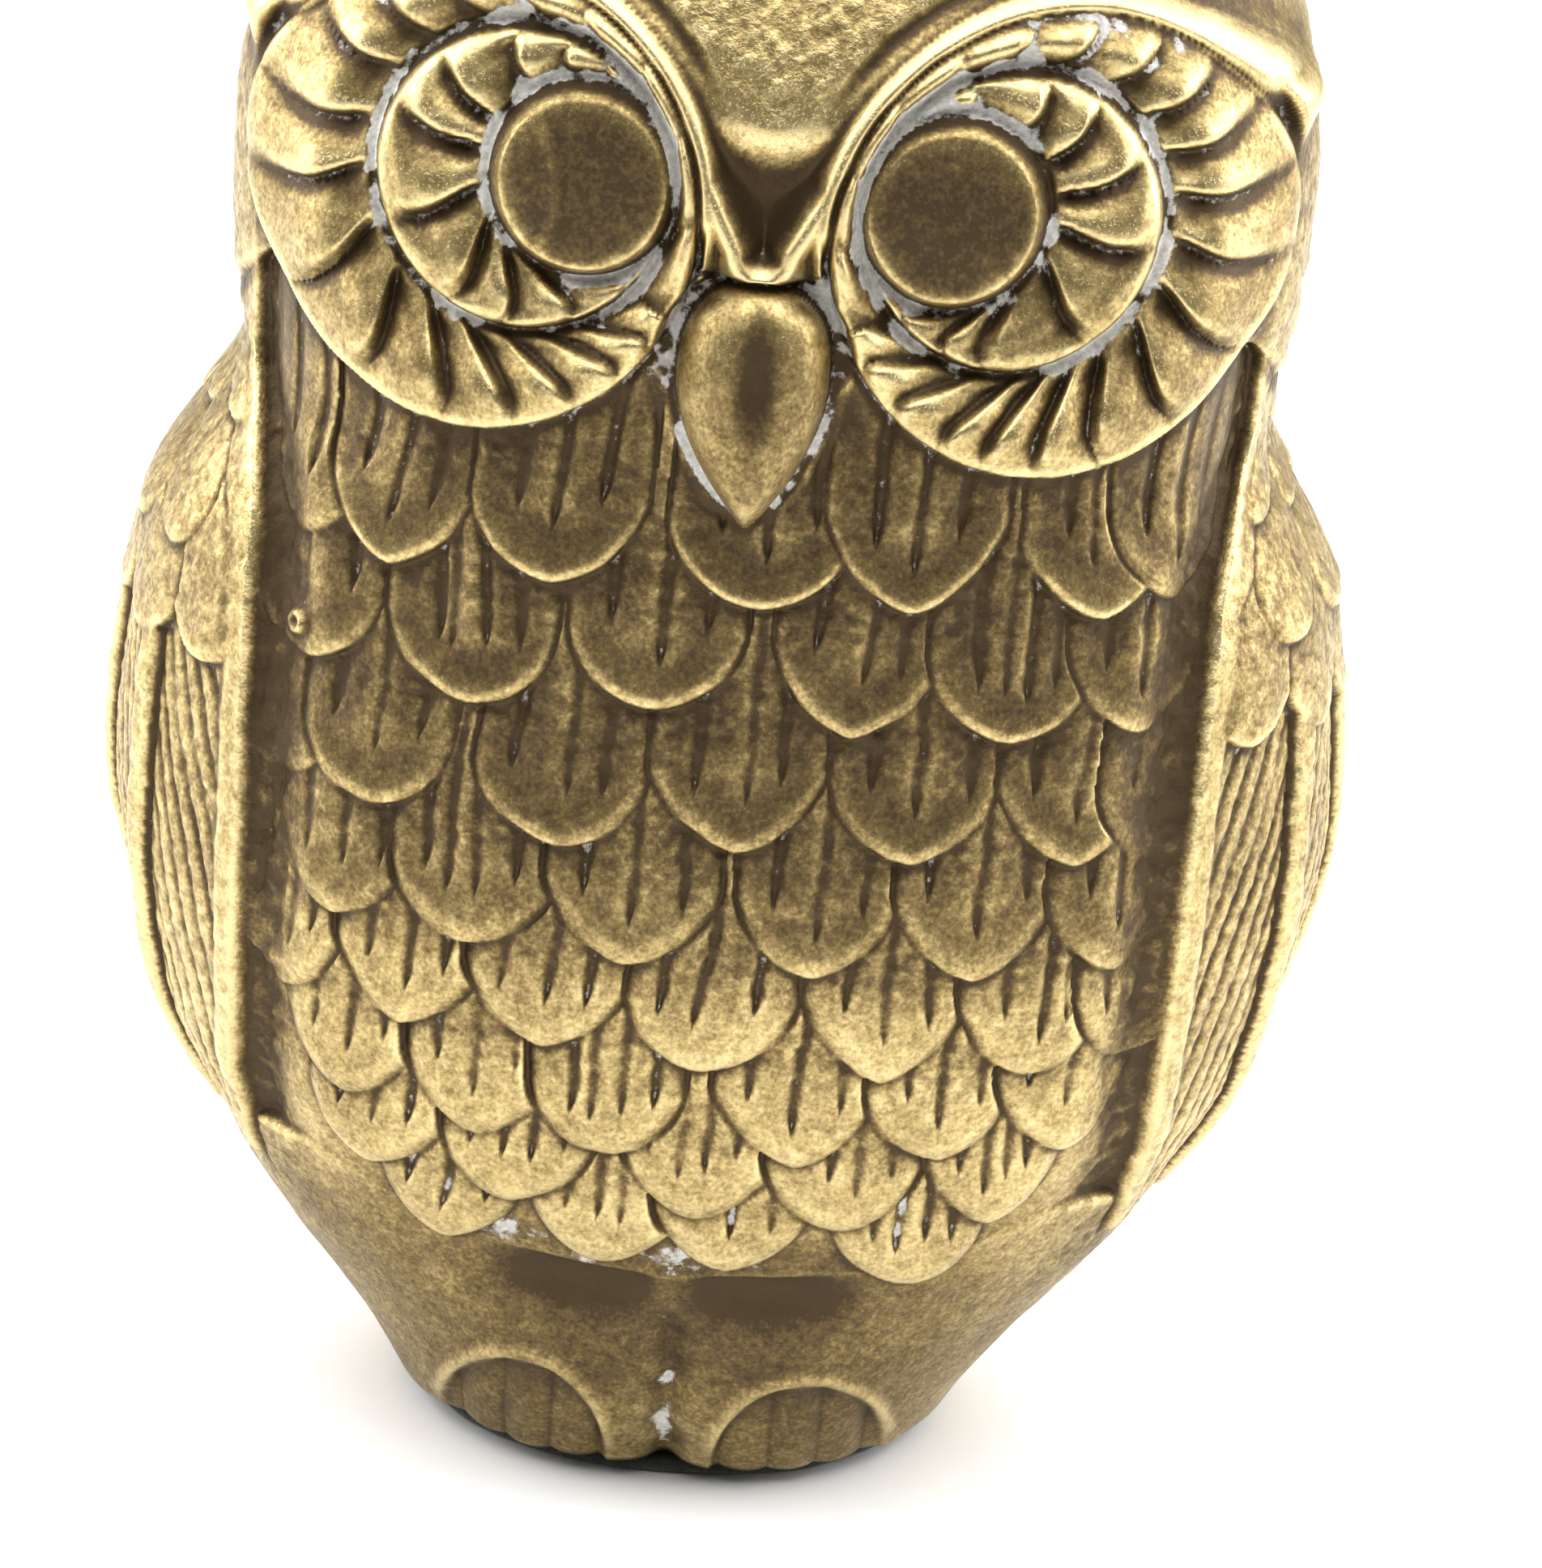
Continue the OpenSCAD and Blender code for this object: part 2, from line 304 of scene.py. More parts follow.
def brow_place(x, z):
    """Distance to the brow's crest, how strong it is, and its straight tail."""
    d = distance(x, z, DISC) - DISC[2] - BROW_OUT
    angle = np.degrees(np.arctan2(z - DISC[1], x - DISC[0]))
    angle = np.where(angle < -90, angle + 360, angle)
    strength = ramp(angle, 20, 40) * ramp(angle, 200, 176)
    way = TAIL_LOW - TAIL_TOP
    t = unit(((x - TAIL_TOP[0]) * way[0] + (z - TAIL_TOP[1]) * way[1]) / (way @ way))
    tail = np.hypot(x - TAIL_TOP[0] - t * way[0], z - TAIL_TOP[1] - t * way[1])
    tail = np.where(z < TAIL_LOW[1], np.abs(np.hypot(x, z - TAIL_LOW[1]) - TAIL_LOW[0]), tail)
    return d, strength, tail


def soft_max(a, b, width):
    """The greater of two heights, rounded where they meet."""
    h = unit(0.5 + (a - b) / (2 * width))
    return mix(b, a, h) + width * h * (1 - h)


def outer_petals(x, z, side):
    """Petals that climb from the inner circle and roll over to the rim."""
    across, t, number, d_in, d_out = petals(x, z, side, RING, DISC, OUTER_CRESTS, 13, 8.5)
    span = np.clip((d_in + d_out) / 7.5, 0.1, 1)
    crown = mix(0.5, RIM_H, ramp(across, -0.1, 0.6)) - 0.75 * ramp(across, 0.6, 1.0) ** 1.5
    swing = (0.15 + 1.1 * span) * ramp(across, 0.0, 0.25) * mix(1.0, 0.18, ramp(across, 0.6, 0.95))
    swing = swing * (1 + 0.18 * np.sin(number * 2.7))
    relief = crown - swing * (1 - petal(t, 0.76))
    relief -= 0.4 * bell(across - 0.22, 0.2) * bell(t - 0.4, 0.35) * span
    relief -= 0.6 * ramp(d_in, 0.8, 0.0)
    relief -= 0.45 * ramp(d_out, 0.5, 0.0) ** 2
    return relief, across, t, d_in


def inner_petals(x, z, side):
    """The shorter petals between the eye and the inner circle."""
    across, t, number, d_in, d_out = petals(x, z, side, EYE, RING, INNER_CRESTS, 9, 11)
    span = np.clip((d_in + d_out) / 6.5, 0.05, 1)
    crown = mix(0.5, RING_H, ramp(across, -0.1, 0.6)) * mix(0.55, 1.0, span)
    crown -= 0.45 * ramp(across, 0.7, 1.0) ** 2
    swing = (0.1 + 1.15 * span) * ramp(across, 0.0, 0.25) * mix(1.0, 0.2, ramp(across, 0.65, 0.96))
    swing = swing * (1 + 0.15 * np.sin(number * 3.1))
    relief = crown - swing * (1 - petal(t, 0.78))
    relief -= 0.4 * ramp(d_in, 0.7, 0.0)
    relief -= 0.35 * ramp(d_out, 0.45, 0.0) ** 2
    return relief, t, d_in


def eye_boss(x, z, d_eye):
    """A flat top with a bevelled edge, and a faint line on the owl's right eye."""
    bevel = ramp(EYE[2] - d_eye, -0.15, 0.7)
    relief = 0.75 + (EYE_H - 0.35) * bevel - 0.12 * unit(1 - (d_eye / EYE[2]) ** 2)
    line = bell(np.hypot(x + 17.5, z - 83.0) - 6.0, 0.35)
    return relief + 0.16 * line * ramp(d_eye, EYE[2] - 0.4, EYE[2] - 1.6)


def forehead_and_brow(ax, z, d_brow, strength, d_tail):
    """The forehead, the smooth hollow under its V edge, and the flank up to the brow."""
    v_edge = 88.2 + 0.88 * (np.sqrt(ax * ax + 0.6) - math.sqrt(0.6))
    below_v = (v_edge - z) * 0.78
    e = np.minimum(np.where(strength > 0.02, np.abs(d_brow), 99), d_tail)
    arc_x = DISC[0] - np.sqrt(np.clip((DISC[2] + BROW_OUT) ** 2 - (z - DISC[1]) ** 2, 0, None))
    reach = TAIL_TOP - TAIL_LOW
    tail_x = TAIL_LOW[0] + reach[0] * unit((z - TAIL_LOW[1]) / reach[1])
    crest_x = np.where(z > TAIL_TOP[1], arc_x, tail_x)
    over_x = unit(ax / np.maximum(crest_x, 0.6))
    flank = (BROW_H - 0.1) * mix(over_x ** 2.6, (1 - unit(e / 2.6)) ** 1.6, ramp(z, 87.0, 91.0))
    flank *= mix(ramp(ax - crest_x, 1.6, 0.3), 1.0, ramp(z, 83.0, 85.0))
    forehead = 2.05 + 0.2 * ramp(below_v, 0.0, -4.0)
    slope = 2.05 + 0.15 * bell(below_v, 1.1) - 0.75 * ramp(below_v, 0.0, 4.5)
    slope -= 1.15 * ramp(z, 88.0, 83.5)
    hollow = soft_max(slope, flank, 0.7) - 0.15
    return mix(forehead, hollow, ramp(below_v, -0.8, 0.6)), below_v, over_x


def beak(x, z):
    """The beak's dome, the shallow spindle on it, where it is, and the moat round it; the face paints the
    spindle dark as a painted reflection.
    """
    bx = np.abs(x - 0.25 * ramp(z, 74, 66))
    up = unit((z - BEAK_MID) / (BEAK_TOP - BEAK_MID))
    down = unit((BEAK_MID - z) / (BEAK_MID - BEAK_TIP))
    half = BEAK_HALF * (1 - up ** 2.4) ** 0.42 * (1 - down ** 1.8) ** 0.95
    cross = unit(bx / np.maximum(half, 0.05))
    dome = (1 - cross ** 2.2) ** 0.75 * (1 - up ** 3) ** 0.5 * (1 - down ** 2.6) ** 0.6
    spindle = ramp(np.hypot((x - 0.2) / 1.25, (z - 74.7) / 3.5), 1.3, 0.2)
    dome -= 0.16 * spindle
    gap = half - bx
    here = ramp(gap, -0.1, 0.25) * ramp(z, BEAK_TOP + 0.1, BEAK_TOP - 0.15) * (z > BEAK_TIP)
    moat = ramp(gap, -1.4, -0.2) * ramp(z, BEAK_TIP - 1, BEAK_TIP + 2)
    moat *= ramp(z, BEAK_TOP + 0.2, BEAK_TOP - 0.3)
    return dome, spindle, here, moat


def face(x, z):
    """Relief of the face in mm, and masks for its parts."""
    ax = np.abs(x)
    side = np.where(x > 0, 1, -1)
    d_disc = distance(ax, z, DISC)
    d_ring = distance(ax, z, RING)
    d_eye = distance(ax, z, EYE)
    outer, across, t_out, from_ring = outer_petals(ax, z, side)
    inner, t_in, from_eye = inner_petals(ax, z, side)
    in_disc = ramp(d_disc, DISC[2] + 0.3, DISC[2] - 0.35)
    in_ring = ramp(d_ring, RING[2] + 0.25, RING[2] - 0.25)
    in_eye = ramp(d_eye, EYE[2] + 0.25, EYE[2] - 0.05)
    between = mix(-FACE_LIFT, 0.8, ramp(z, 78.6, 80.6) * ramp(ax, 5.5, 4.0))
    relief = mix(between, outer, in_disc)
    relief = mix(relief, inner, in_ring * in_disc)
    relief = mix(relief, eye_boss(x, z, d_eye), in_eye)

    d_brow, strength, d_tail = brow_place(ax, z)
    band, below_v, over_x = forehead_and_brow(ax, z, d_brow, strength, d_tail)
    outside = ramp(d_disc, DISC[2] - 0.05, DISC[2] + 0.3)
    angle = np.degrees(np.arctan2(z - DISC[1], ax - DISC[0]))
    inward = np.where((angle < -90) | (angle > 30), 1.0, ramp(angle, 0, 30))
    above = ramp(z, 80.6, 81.2) * inward
    relief = mix(relief, band, outside * above)
    crest = BROW_H * bell(d_brow, 1.2) * strength
    tail_crest = BROW_H * bell(d_tail, 1.25)
    relief = np.maximum(relief, np.maximum(crest, tail_crest))
    relief -= 0.55 * bell(d_brow - 1.7, 0.6) * ramp(z, 88.0, 91.5) * strength

    dome, spindle, on_beak, moat = beak(x, z)
    relief = mix(relief, np.minimum(relief, -0.2), moat * (1 - on_beak))
    relief = mix(relief, 0.5 + 3.5 * dome, on_beak)
    pocket = bell(d_disc - DISC[2] - 0.3, 0.9) * ramp(ax, 8.5, 4.5) * ramp(z, 80.5, 79.0)
    moat = unit(moat + pocket) * (1 - on_beak) * ramp(z, 81.0, 79.8)
    eye_foot = bell(EYE[2] - 0.35 - d_eye, 0.5) * ramp(z, EYE[1] + 2, EYE[1] - 3)
    on_band = outside * above
    return {
        "relief": relief + FACE_LIFT,
        "disc": in_disc,
        "eye": in_eye * (1 - eye_foot),
        "beak": on_beak,
        "beak_mid": on_beak * unit(spindle + 0.3),
        "band": outside * inward * ramp(z, 79.0, 79.7),
        "v_line": on_band * bell(below_v - 0.5, 1.5),
        "forehead": on_band * ramp(below_v, 0.2, -0.2),
        "bridge": on_band * ramp(below_v, 0.0, 1.0) * (1 - crest / BROW_H),
        "valley": outside * ramp(z, 80.0, 80.8) * ramp(z, 87.2, 84.6) * ramp(over_x, 1.0, 0.6),
        "ring_gap": bell(from_ring - 0.2, 0.62) * in_disc * (1 - in_ring),
        "eye_gap": bell(from_eye - 0.25, 0.75) * in_ring * (1 - in_eye),
        "roots": in_disc * (1 - in_eye) * ramp(np.where(in_ring > 0.5, t_in, t_out), 0.16, 0.03),
        "under_brow": bell(d_disc - DISC[2] + 1.1, 1.2) * ramp(z, 85.0, 90.0) * ramp(ax, 25, 20) * in_disc,
        "moat": moat,
        "rim": ramp(across, 0.6, 0.9) * in_disc * (1 - in_ring),
        "crest": unit(np.maximum(crest, tail_crest) / BROW_H),
    }


# ---- body feathers ----

# Height of each row's tips and where its feathers stand, in mm across the breast
BREAST_ROWS = (
    (60.4, (-24.6, -19.1, -10.0, 1.3, 9.8, 20.4, 25.0)),
    (53.2, (-24.0, -14.5, -4.1, 7.3, 15.9, 23.5)),
    (45.6, (-25.4, -19.4, -8.7, 1.2, 11.1, 20.3, 25.6)),
    (38.8, (-21.0, -13.4, -4.4, 6.3, 15.3, 23.5)),
    (32.2, (-24.5, -16.8, -8.6, 0.8, 10.6, 19.1, 25.4)),
    (26.6, (-20.0, -12.3, -4.7, 6.2, 14.4, 21.8)),
    (21.9, (-18.2, -9.9, 1.0, 9.3, 18.0)),
    (17.6, (-13.6, -4.2, 3.1, 13.7)),
)
WING_FRONT = ((0, 10.0), (13, 21.5), (18, 25.3), (25, 27.0), (60, 27.3), (69, 28.6), (106, 28.6))
BACK_EDGE = ((0, 2.0), (12, 3.5), (20, 6.0), (30, 9.0), (45, 13.5), (60, 16.5), (69, 18.0), (106, 18.0))
WING_VANES = 6
COVERT_ROWS = (51.0, 57.2, 63.4, 69.0)
BACK_ROWS = (27.0, 33.5, 40.0, 46.5, 53.0, 59.5, 66.0)
TAIL_FEATHERS = ((-11.5, 9.0), (11.5, 9.2), (-7.6, 6.8), (7.7, 6.9), (-3.9, 5.0), (3.8, 5.1), (0.0, 4.2))
# Where the head's scales end, over the neck
CAP_Z = 70.5
KINDS = ("cut", "root", "hollow")


def blank(like, names=KINDS):
    """An empty mask of each name."""
    return {name: np.zeros_like(like) for name in names}


def feather(relief, masks, s, z, at, tip, half, rounding, length, lift, point, lines, rng,
            bevel=0.5, roll=1.2, scoop=0.0):
    """Lays one overlapping feather over the relief, in place.

    It is centred at `at` with its tip at `tip`; rounding is how far its sides
    lie above the tip, point how pointed it is, and lines how many cuts it has.
    """
    near = (np.abs(s - at) < half) & (z > tip) & (z < tip + length)
    if not near.any():
        return
    u = (s[near] - at) / half
    v = z[near] - tip
    au = np.clip(np.abs(u), 0, 0.995)
    arch = np.sqrt(1 - au * au)
    edge = rounding * mix(1 - arch, 0.8 * au ** 1.35 + 0.2 * au ** 6, point)
    slope = rounding / half * mix(au / arch, 1.08 * au ** 0.35 + 1.2 * au ** 5, point)
    d = np.minimum((v - edge) / np.hypot(1, slope), (1 - au) * half + 0.05)
    inside = ramp(d, -0.04, 0.22)
    height = lift * np.exp(-v / (0.42 * length)) + 0.32 * (1 - u * u)
    height -= bevel * (1 - unit(d / roll)) ** 1.7 + scoop * bell(d - 2.6, 2.0)
    cuts = np.zeros_like(height)
    places = np.linspace(-0.5, 0.5, lines) + rng.normal(0, 0.05, lines) if lines else ()
    lean = rng.normal(0.03, 0.03)
    for place in places:
        stop = rounding * (0.5 + 0.55 * abs(place)) + rng.uniform(-0.6, 0.9)
        off = s[near] - at - place * half - (lean + rng.normal(0, 0.015)) * (v - stop)
        wide = 0.42 * ramp(v, stop - 0.4, stop + 1.8)
        cut = bell(off, np.maximum(wide, 0.05)) * ramp(v, stop - 0.3, stop + 0.5)
        cut *= ramp(v, length * 0.95, length * 0.7)
        cuts = np.maximum(cuts, cut * rng.uniform(0.2, 0.42))
    height -= cuts
    relief[near] = mix(relief[near], height, inside)
    hollow = bell(d - 2.6, 2.4) * min(scoop / 0.3, 1)
    root = ramp(v, rounding * 0.75, rounding * 1.4)
    for name, value in (("cut", unit(cuts / 0.4)), ("hollow", hollow), ("root", root)):
        masks[name][near] = mix(masks[name][near], value, inside)


def curve(z, table):
    return np.interp(z, [row[0] for row in table], [row[1] for row in table])


wing_front = np.array([arc_at(curve(h, WING_FRONT), h) for h in row_z])[:, None]
rear_gap = curve(row_z, BACK_EDGE)[:, None]
wing_wide = back_at - rear_gap - wing_front


def breast(s, z, rng):
    """All the feathers of the breast, lowest row first."""
    relief = np.zeros_like(s)
    masks = blank(s)
    for index in reversed(range(len(BREAST_ROWS))):
        tip, places = BREAST_ROWS[index]
        above = BREAST_ROWS[index - 1][0] if index else tip + 8
        shrink = 1 - 0.014 * index
        crisp, flat = unit(index / 3), unit((index - 2) / 2)
        for x in places:
            low = tip + rng.normal(0, 0.3)
            feather(relief, masks, s, z, arc_at(x, tip), low, rng.uniform(5.15, 5.5) * shrink,
                    rng.uniform(5.0, 5.8) * shrink, 2 * (above - tip) + 3.5, rng.uniform(0.9, 1.1),
                    rng.uniform(0.1, 0.65), int(rng.choice((3, 3, 4))), rng,
                    mix(0.45, 0.55, crisp), mix(0.75, 1.35, crisp), mix(0.3, 0.0, flat))
    return relief, masks


def wing(w, wide, z, rng):
    """A folded wing over w, the distance behind its front edge."""
    masks = blank(w)
    share = np.clip(w / np.maximum(wide, 1), 0, 0.9999) * WING_VANES
    number = np.floor(share)
    q = share - number
    vane = wide / WING_VANES
    from_front = q * vane
    shaft = 0.32 * np.sin(unit(from_front / 2.3) * math.pi) ** 0.8
    slope = mix(0.25, -0.25, unit((from_front - 1.4) / np.maximum(vane - 1.4, 0.5)))
    wander = 0.2 * np.sin(z * 0.21 + number * 2.1) + 0.1 * np.sin(z * 0.53 + number)
    phase = (w - 0.36 * (z - 20) + wander) / 1.7 + number * 0.37
    barb = phase - np.floor(phase) - 0.5
    stroke = np.floor(phase)
    depth = 0.2 + 0.08 * np.sin(stroke * 2.4 + number) * np.sin(z * 0.3 + stroke * 1.7)
    cut = bell(barb * 1.7, 0.34) * ramp(from_front, 2.0, 3.0) * ramp(vane - from_front, 0.2, 0.7)
    relief = slope + shaft - depth * cut
    relief -= 0.22 * ramp(vane - from_front, 0.6, 0.0) + 0.18 * ramp(from_front, 0.35, 0.0)
    masks["cut"] = cut
    bottom = 17.6 - 1.0 * number + 0.08 * number ** 2
    tip_d = z - bottom - 2.0 * (2 * q - 1) ** 2
    inside = ramp(tip_d, -0.1, 0.3)
    reach = ramp(tip_d, -0.9, -0.3)
    relief = mix(-0.1, relief, inside)
    relief -= 0.3 * bell(tip_d, 0.5)

    # Coverts: plain scales over the shoulder, lowest row first
    for index, tip in enumerate(COVERT_ROWS):
        for k in range(-1, 9):
            at = 4.0 + (k + 0.5 * (index % 2)) * 8.0 + rng.normal(0, 0.3)
            feather(relief, masks, w, z, at, tip - 0.06 * at + rng.normal(0, 0.5), 4.7,
                    rng.uniform(4.8, 5.8), 13.5, rng.uniform(0.42, 0.52), rng.uniform(0.0, 0.4), 0,
                    rng, 0.22, 0.8)

    # The smooth bead along the front edge, and the wing's edges
    bead = 0.42 * np.sqrt(unit(1 - ((w - 1.1) / 1.5) ** 2)) + 0.1
    on_bead = ramp(w, 2.6, 1.7) * ramp(z, 16.5, 19)
    relief = mix(relief, bead, on_bead)
    for name in masks:
        masks[name] = masks[name] * (1 - on_bead)
    relief = relief * ramp(w, -0.2, 0.5)
    return relief, masks, on_bead, np.maximum(reach, on_bead)


def behind(b, z, rng):
    """The back between the wings, and the tail; b is the distance from its middle."""
    relief = np.zeros_like(b)
    masks = blank(b)
    for at, tip in TAIL_FEATHERS:
        feather(relief, masks, b, z, at, tip, 3.6, 3.4, 30.0, 0.9, 0.25, 0, rng, 0.45)
        ridge = bell(b - at, 0.45) * ramp(z, tip + 1.5, tip + 3) * ramp(z, 30, 26)
        off = np.abs(b - at)
        local = off < 2.4
        barb = ((z - 1.6 * off) / 1.15) % 1.0 - 0.5
        cut = bell(barb * 1.15, 0.25) * ramp(off, 0.5, 0.9) * ramp(off, 2.6, 2.0)
        cut *= ramp(z, tip + 1.8, tip + 3)
        relief += np.where(local, 0.25 * ridge - 0.28 * cut, 0)
        masks["cut"] = np.where(local, np.maximum(masks["cut"], cut), masks["cut"])
    for index, tip in enumerate(BACK_ROWS):
        for k in range(-3, 4):
            at = (k + 0.5 * (index % 2)) * 8.6 + rng.normal(0, 0.2)
            feather(relief, masks, b, z, at, tip + rng.normal(0, 0.35), rng.uniform(4.6, 4.9),
                    rng.uniform(4.6, 5.3), 14.5, rng.uniform(0.85, 1.0), rng.uniform(0.1, 0.5),
                    int(rng.choice((3, 3, 4))), rng, 0.5)
    return relief, masks


def legs(x, z):
    """Two leg lobes with a groove between them, and an arched foot in each."""
    ax = np.abs(x)
    lobe = 0.8 * bell(ax - 7.4, 5.6) * ramp(z, 16.5, 11.0) * ramp(z, -2.0, 6.0)
    relief = 0.1 + lobe
    recess = bell(z - 15.9, 1.9) * ramp(ax, 12.5, 7.0) * ramp(ax, 0.3, 3.0)
    relief -= 0.7 * recess
    wobble = 0.2 * np.sin(z * 0.8) + 0.1 * np.sin(z * 2.1 + 1)
    groove = bell(x - 0.3 - wobble, 1.0) * ramp(z, 15.0, 12.0)
    notch = bell(x - 0.3, 2.2) * ramp(z, 7.0, 1.0)
    relief -= 0.75 * groove + 0.5 * notch
    # the arched panel of the toes
    out = np.hypot((ax - 8.4) / 5.3, (z - 1.4) / 8.2)
    far = (out - 1) * 5.8
    panel = ramp(far, 0.1, -0.5)
    toes = 0.34 * np.abs(np.cos((ax - 8.1) / 2.9 * math.pi)) ** 0.8
    inside = -0.5 + toes + 0.3 * bell(ax - 8.4, 3.5)
    relief = mix(relief, relief * 0.7 + inside, panel)
    rim = bell(far - 0.25, 0.5) * ramp(z, 2.0, 4.5)
    relief += 0.3 * rim
    relief -= 0.35 * (1 - unit((z - foot_z) / 0.9)) ** 2
    masks = {"groove": groove, "recess": recess, "rim": rim, "panel": panel}
    return relief, masks


def head_sides(run, z, rng):
    """Small soft scales over the back and sides of the head."""
    relief = np.zeros_like(run)
    masks = blank(run)
    for index, tip in enumerate(np.arange(CAP_Z + 1.0, 97.0, 4.6)):
        for k in range(-9, 10):
            at = (k + 0.5 * (index % 2)) * 6.6 * (1 - 0.006 * index) + rng.normal(0, 0.3)
            feather(relief, masks, run, z, at, tip + rng.normal(0, 0.35), rng.uniform(3.5, 3.9),
                    rng.uniform(3.6, 4.2), 9.6, rng.uniform(0.5, 0.6), rng.uniform(0.0, 0.5),
                    int(rng.choice((0, 2, 3))), rng, 0.3)
    return relief, masks


def sculpt(points, side, run, seed):
    """Relief over half of the owl in mm, and masks for its looks."""
    x, z = points[..., 0], points[..., 2]
    ax = np.abs(x)
    left_right = np.where(x < 0, -1.0, 1.0)
    s = run if side < 0 else back_at - run
    signed = left_right * s
    b = left_right * (back_at - s)
    warp = 0.35 * noise(points, 7.0, 3) + 0.12 * noise(points, 2.2, 4)
    warp_z = 0.35 * noise(points + 40, 7.0, 5) + 0.12 * noise(points + 40, 2.2, 6)
    rng = np.random.default_rng(seed)

    relief = np.zeros_like(x)
    masks = blank(x, (*KINDS, "residue", "polish_and_painted_highlight", "rough", "dark", "shade"))

    def lay(new, new_masks, where):
        nonlocal relief
        relief = mix(relief, new, where)
        for name in KINDS:
            masks[name] = mix(masks[name], new_masks[name], where)

    def lift(name, value):
        masks[name] = np.maximum(masks[name], value)

    # the breast and the gutters beside it, or the back
    if side < 0:
        lay(*breast(signed + warp, z + warp_z, rng), 1.0)
        fringe = ramp(s - wing_front, -6.0, -2.6) * ramp(z, 12, 18)
        relief = mix(relief, relief * 0.45 - 0.15, fringe)
        gutter = bell(s - wing_front + 1.5, 1.9) * ramp(z, 14, 22)
        relief -= gutter * (0.75 + 0.14 * noise(points, 1.1, 16))
        lift("dark", gutter * unit(0.42 + 0.4 * noise(points, 0.9, 15)))
        lift("rough", np.maximum(gutter, fringe * 0.7))
        nub = np.hypot(x + 24.6, z - 55.2)
        relief += 0.7 * ramp(nub, 1.0, 0.4) - 0.45 * bell(nub, 0.35)
    else:
        lay(*behind(b + warp, z + warp_z, rng), 1.0)

    # the wings
    covered = np.zeros_like(x)
    to_rear = back_at - s - rear_gap
    for which in (-1, 1):
        new, new_masks, bead, vanes = wing(
            s - wing_front + 0.5 * warp, wing_wide + 0 * s, z + 0.6 * warp_z, np.random.default_rng(71 + which))
        on_wing = (left_right == which) * ramp(s - wing_front, -0.3, 0.5) * ramp(to_rear, -0.1, 0.6)
        on_wing = on_wing * ramp(z, 11.5, 12.5) * vanes
        lay(new + 0.45 * ramp(to_rear, 6.0, 0.5), new_masks, on_wing)
        covered = np.maximum(covered, on_wing)
        # Painted reflection and painted highlight: the wings are lightened, their front bead most.
        lift("polish_and_painted_highlight", (0.6 + 0.4 * bead) * on_wing)
    rear = bell(to_rear + 0.6, 0.8) * ramp(z, 14, 20) * ramp(z, CAP_Z, CAP_Z - 2)
    relief -= 0.6 * rear
    lift("dark", 0.7 * rear)

    # below the feathers
    if side < 0:
        low, low_masks = legs(x + 0.3 * warp, z + 0.3 * warp_z)
        under = ramp(z + 0.5 * warp_z - 0.010 * np.minimum(ax, 22) ** 2, 17.0, 16.4)
        keep = ramp(relief, 0.35, 0.1)
        under = under * np.maximum(keep, ramp(z, 16.6, 15.0)) * (1 - covered)
        skirt = ramp(z, 22, 18.5) * keep * ramp(ax, 22, 17)
        # Dust gathers under the lowest feathers; the dark there is a painted shadow under them.
        masks["residue"] += 0.6 * skirt + 0.9 * masks["cut"] * ramp(z, 28, 21) * ramp(ax, 20, 12)
        lift("dark", 0.5 * skirt)
        lay(low, blank(x), under)
        masks["residue"] = masks["residue"] * (1 - under) + under * low_masks["groove"] * 0.7
        masks["dark"] *= 1 - under
        # Painted shadow in the recess under the belly and inside the toe arches, and painted reflection
        # darkening the middle of the legs.
        lift("dark", under * unit(0.85 * low_masks["recess"] + 0.04
                                  + 0.5 * bell(x, 15) * ramp(z, 3, 12) + 0.2 * low_masks["panel"]))
        lift("polish_and_painted_highlight", under * (0.15 + 0.7 * low_masks["rim"]))
    else:
        plinth = 0.15 - 0.8 * ramp(z, foot_z + 1.5, foot_z) ** 2
        relief = mix(relief, plinth, ramp(z, 5.0, 3.6))

    # the cap of small scales over the head, which ends sharper near the seam
    cap_edge = CAP_Z + 0.5 * warp_z
    if side < 0:
        cap_edge = cap_edge + 4.5 * ramp(ax, 30.6, 27.6)
    new, new_masks = head_sides(b, z + warp_z, np.random.default_rng(90))
    crown = ramp(z, 92, 98)
    new = mix(new, 0.35, crown) + 0.65
    soft = ramp(s - seam_at, 0, 9)
    rolled = (0.6 - 0.5 * soft) * (1 - unit((z - cap_edge) / 1.5)) ** 2
    on_cap = ramp(z, cap_edge - 0.1 - 3.5 * soft, cap_edge + 0.3 + soft)
    if side < 0:
        smooth = ramp(seam_at - s, 0.0, 6.0)
        new = mix(new, 0.9, smooth)
        for name in new_masks:
            new_masks[name] = new_masks[name] * (1 - smooth)
        on_cap = on_cap * ramp(ax, 26.4, 27.6)
        on_cap = np.maximum(on_cap, ramp(z, 84, 88))
    lay(new - rolled, new_masks, on_cap)
    cap_line = bell(z - cap_edge + 0.5, 0.6) * ramp(ax, 26, 28)
    lift("dark", 0.6 * cap_line * (on_cap < 0.5) * (1 - soft))

    if side < 0:
        parts = face(x + 0.22 * warp, z + 0.22 * warp_z)
        shown = unit(np.maximum.reduce([parts[name] for name in ("disc", "beak", "band", "crest", "moat")]))
        shown = shown * ramp(ax, 30.0, 28.2) * ramp(z, 103, 97)
        lay(parts["relief"], blank(x), shown)
        for name in ("rough", "dark", "polish_and_painted_highlight"):
            masks[name] *= 1 - shown

        def total(**shares):
            return sum(share * parts[name] for name, share in shares.items())

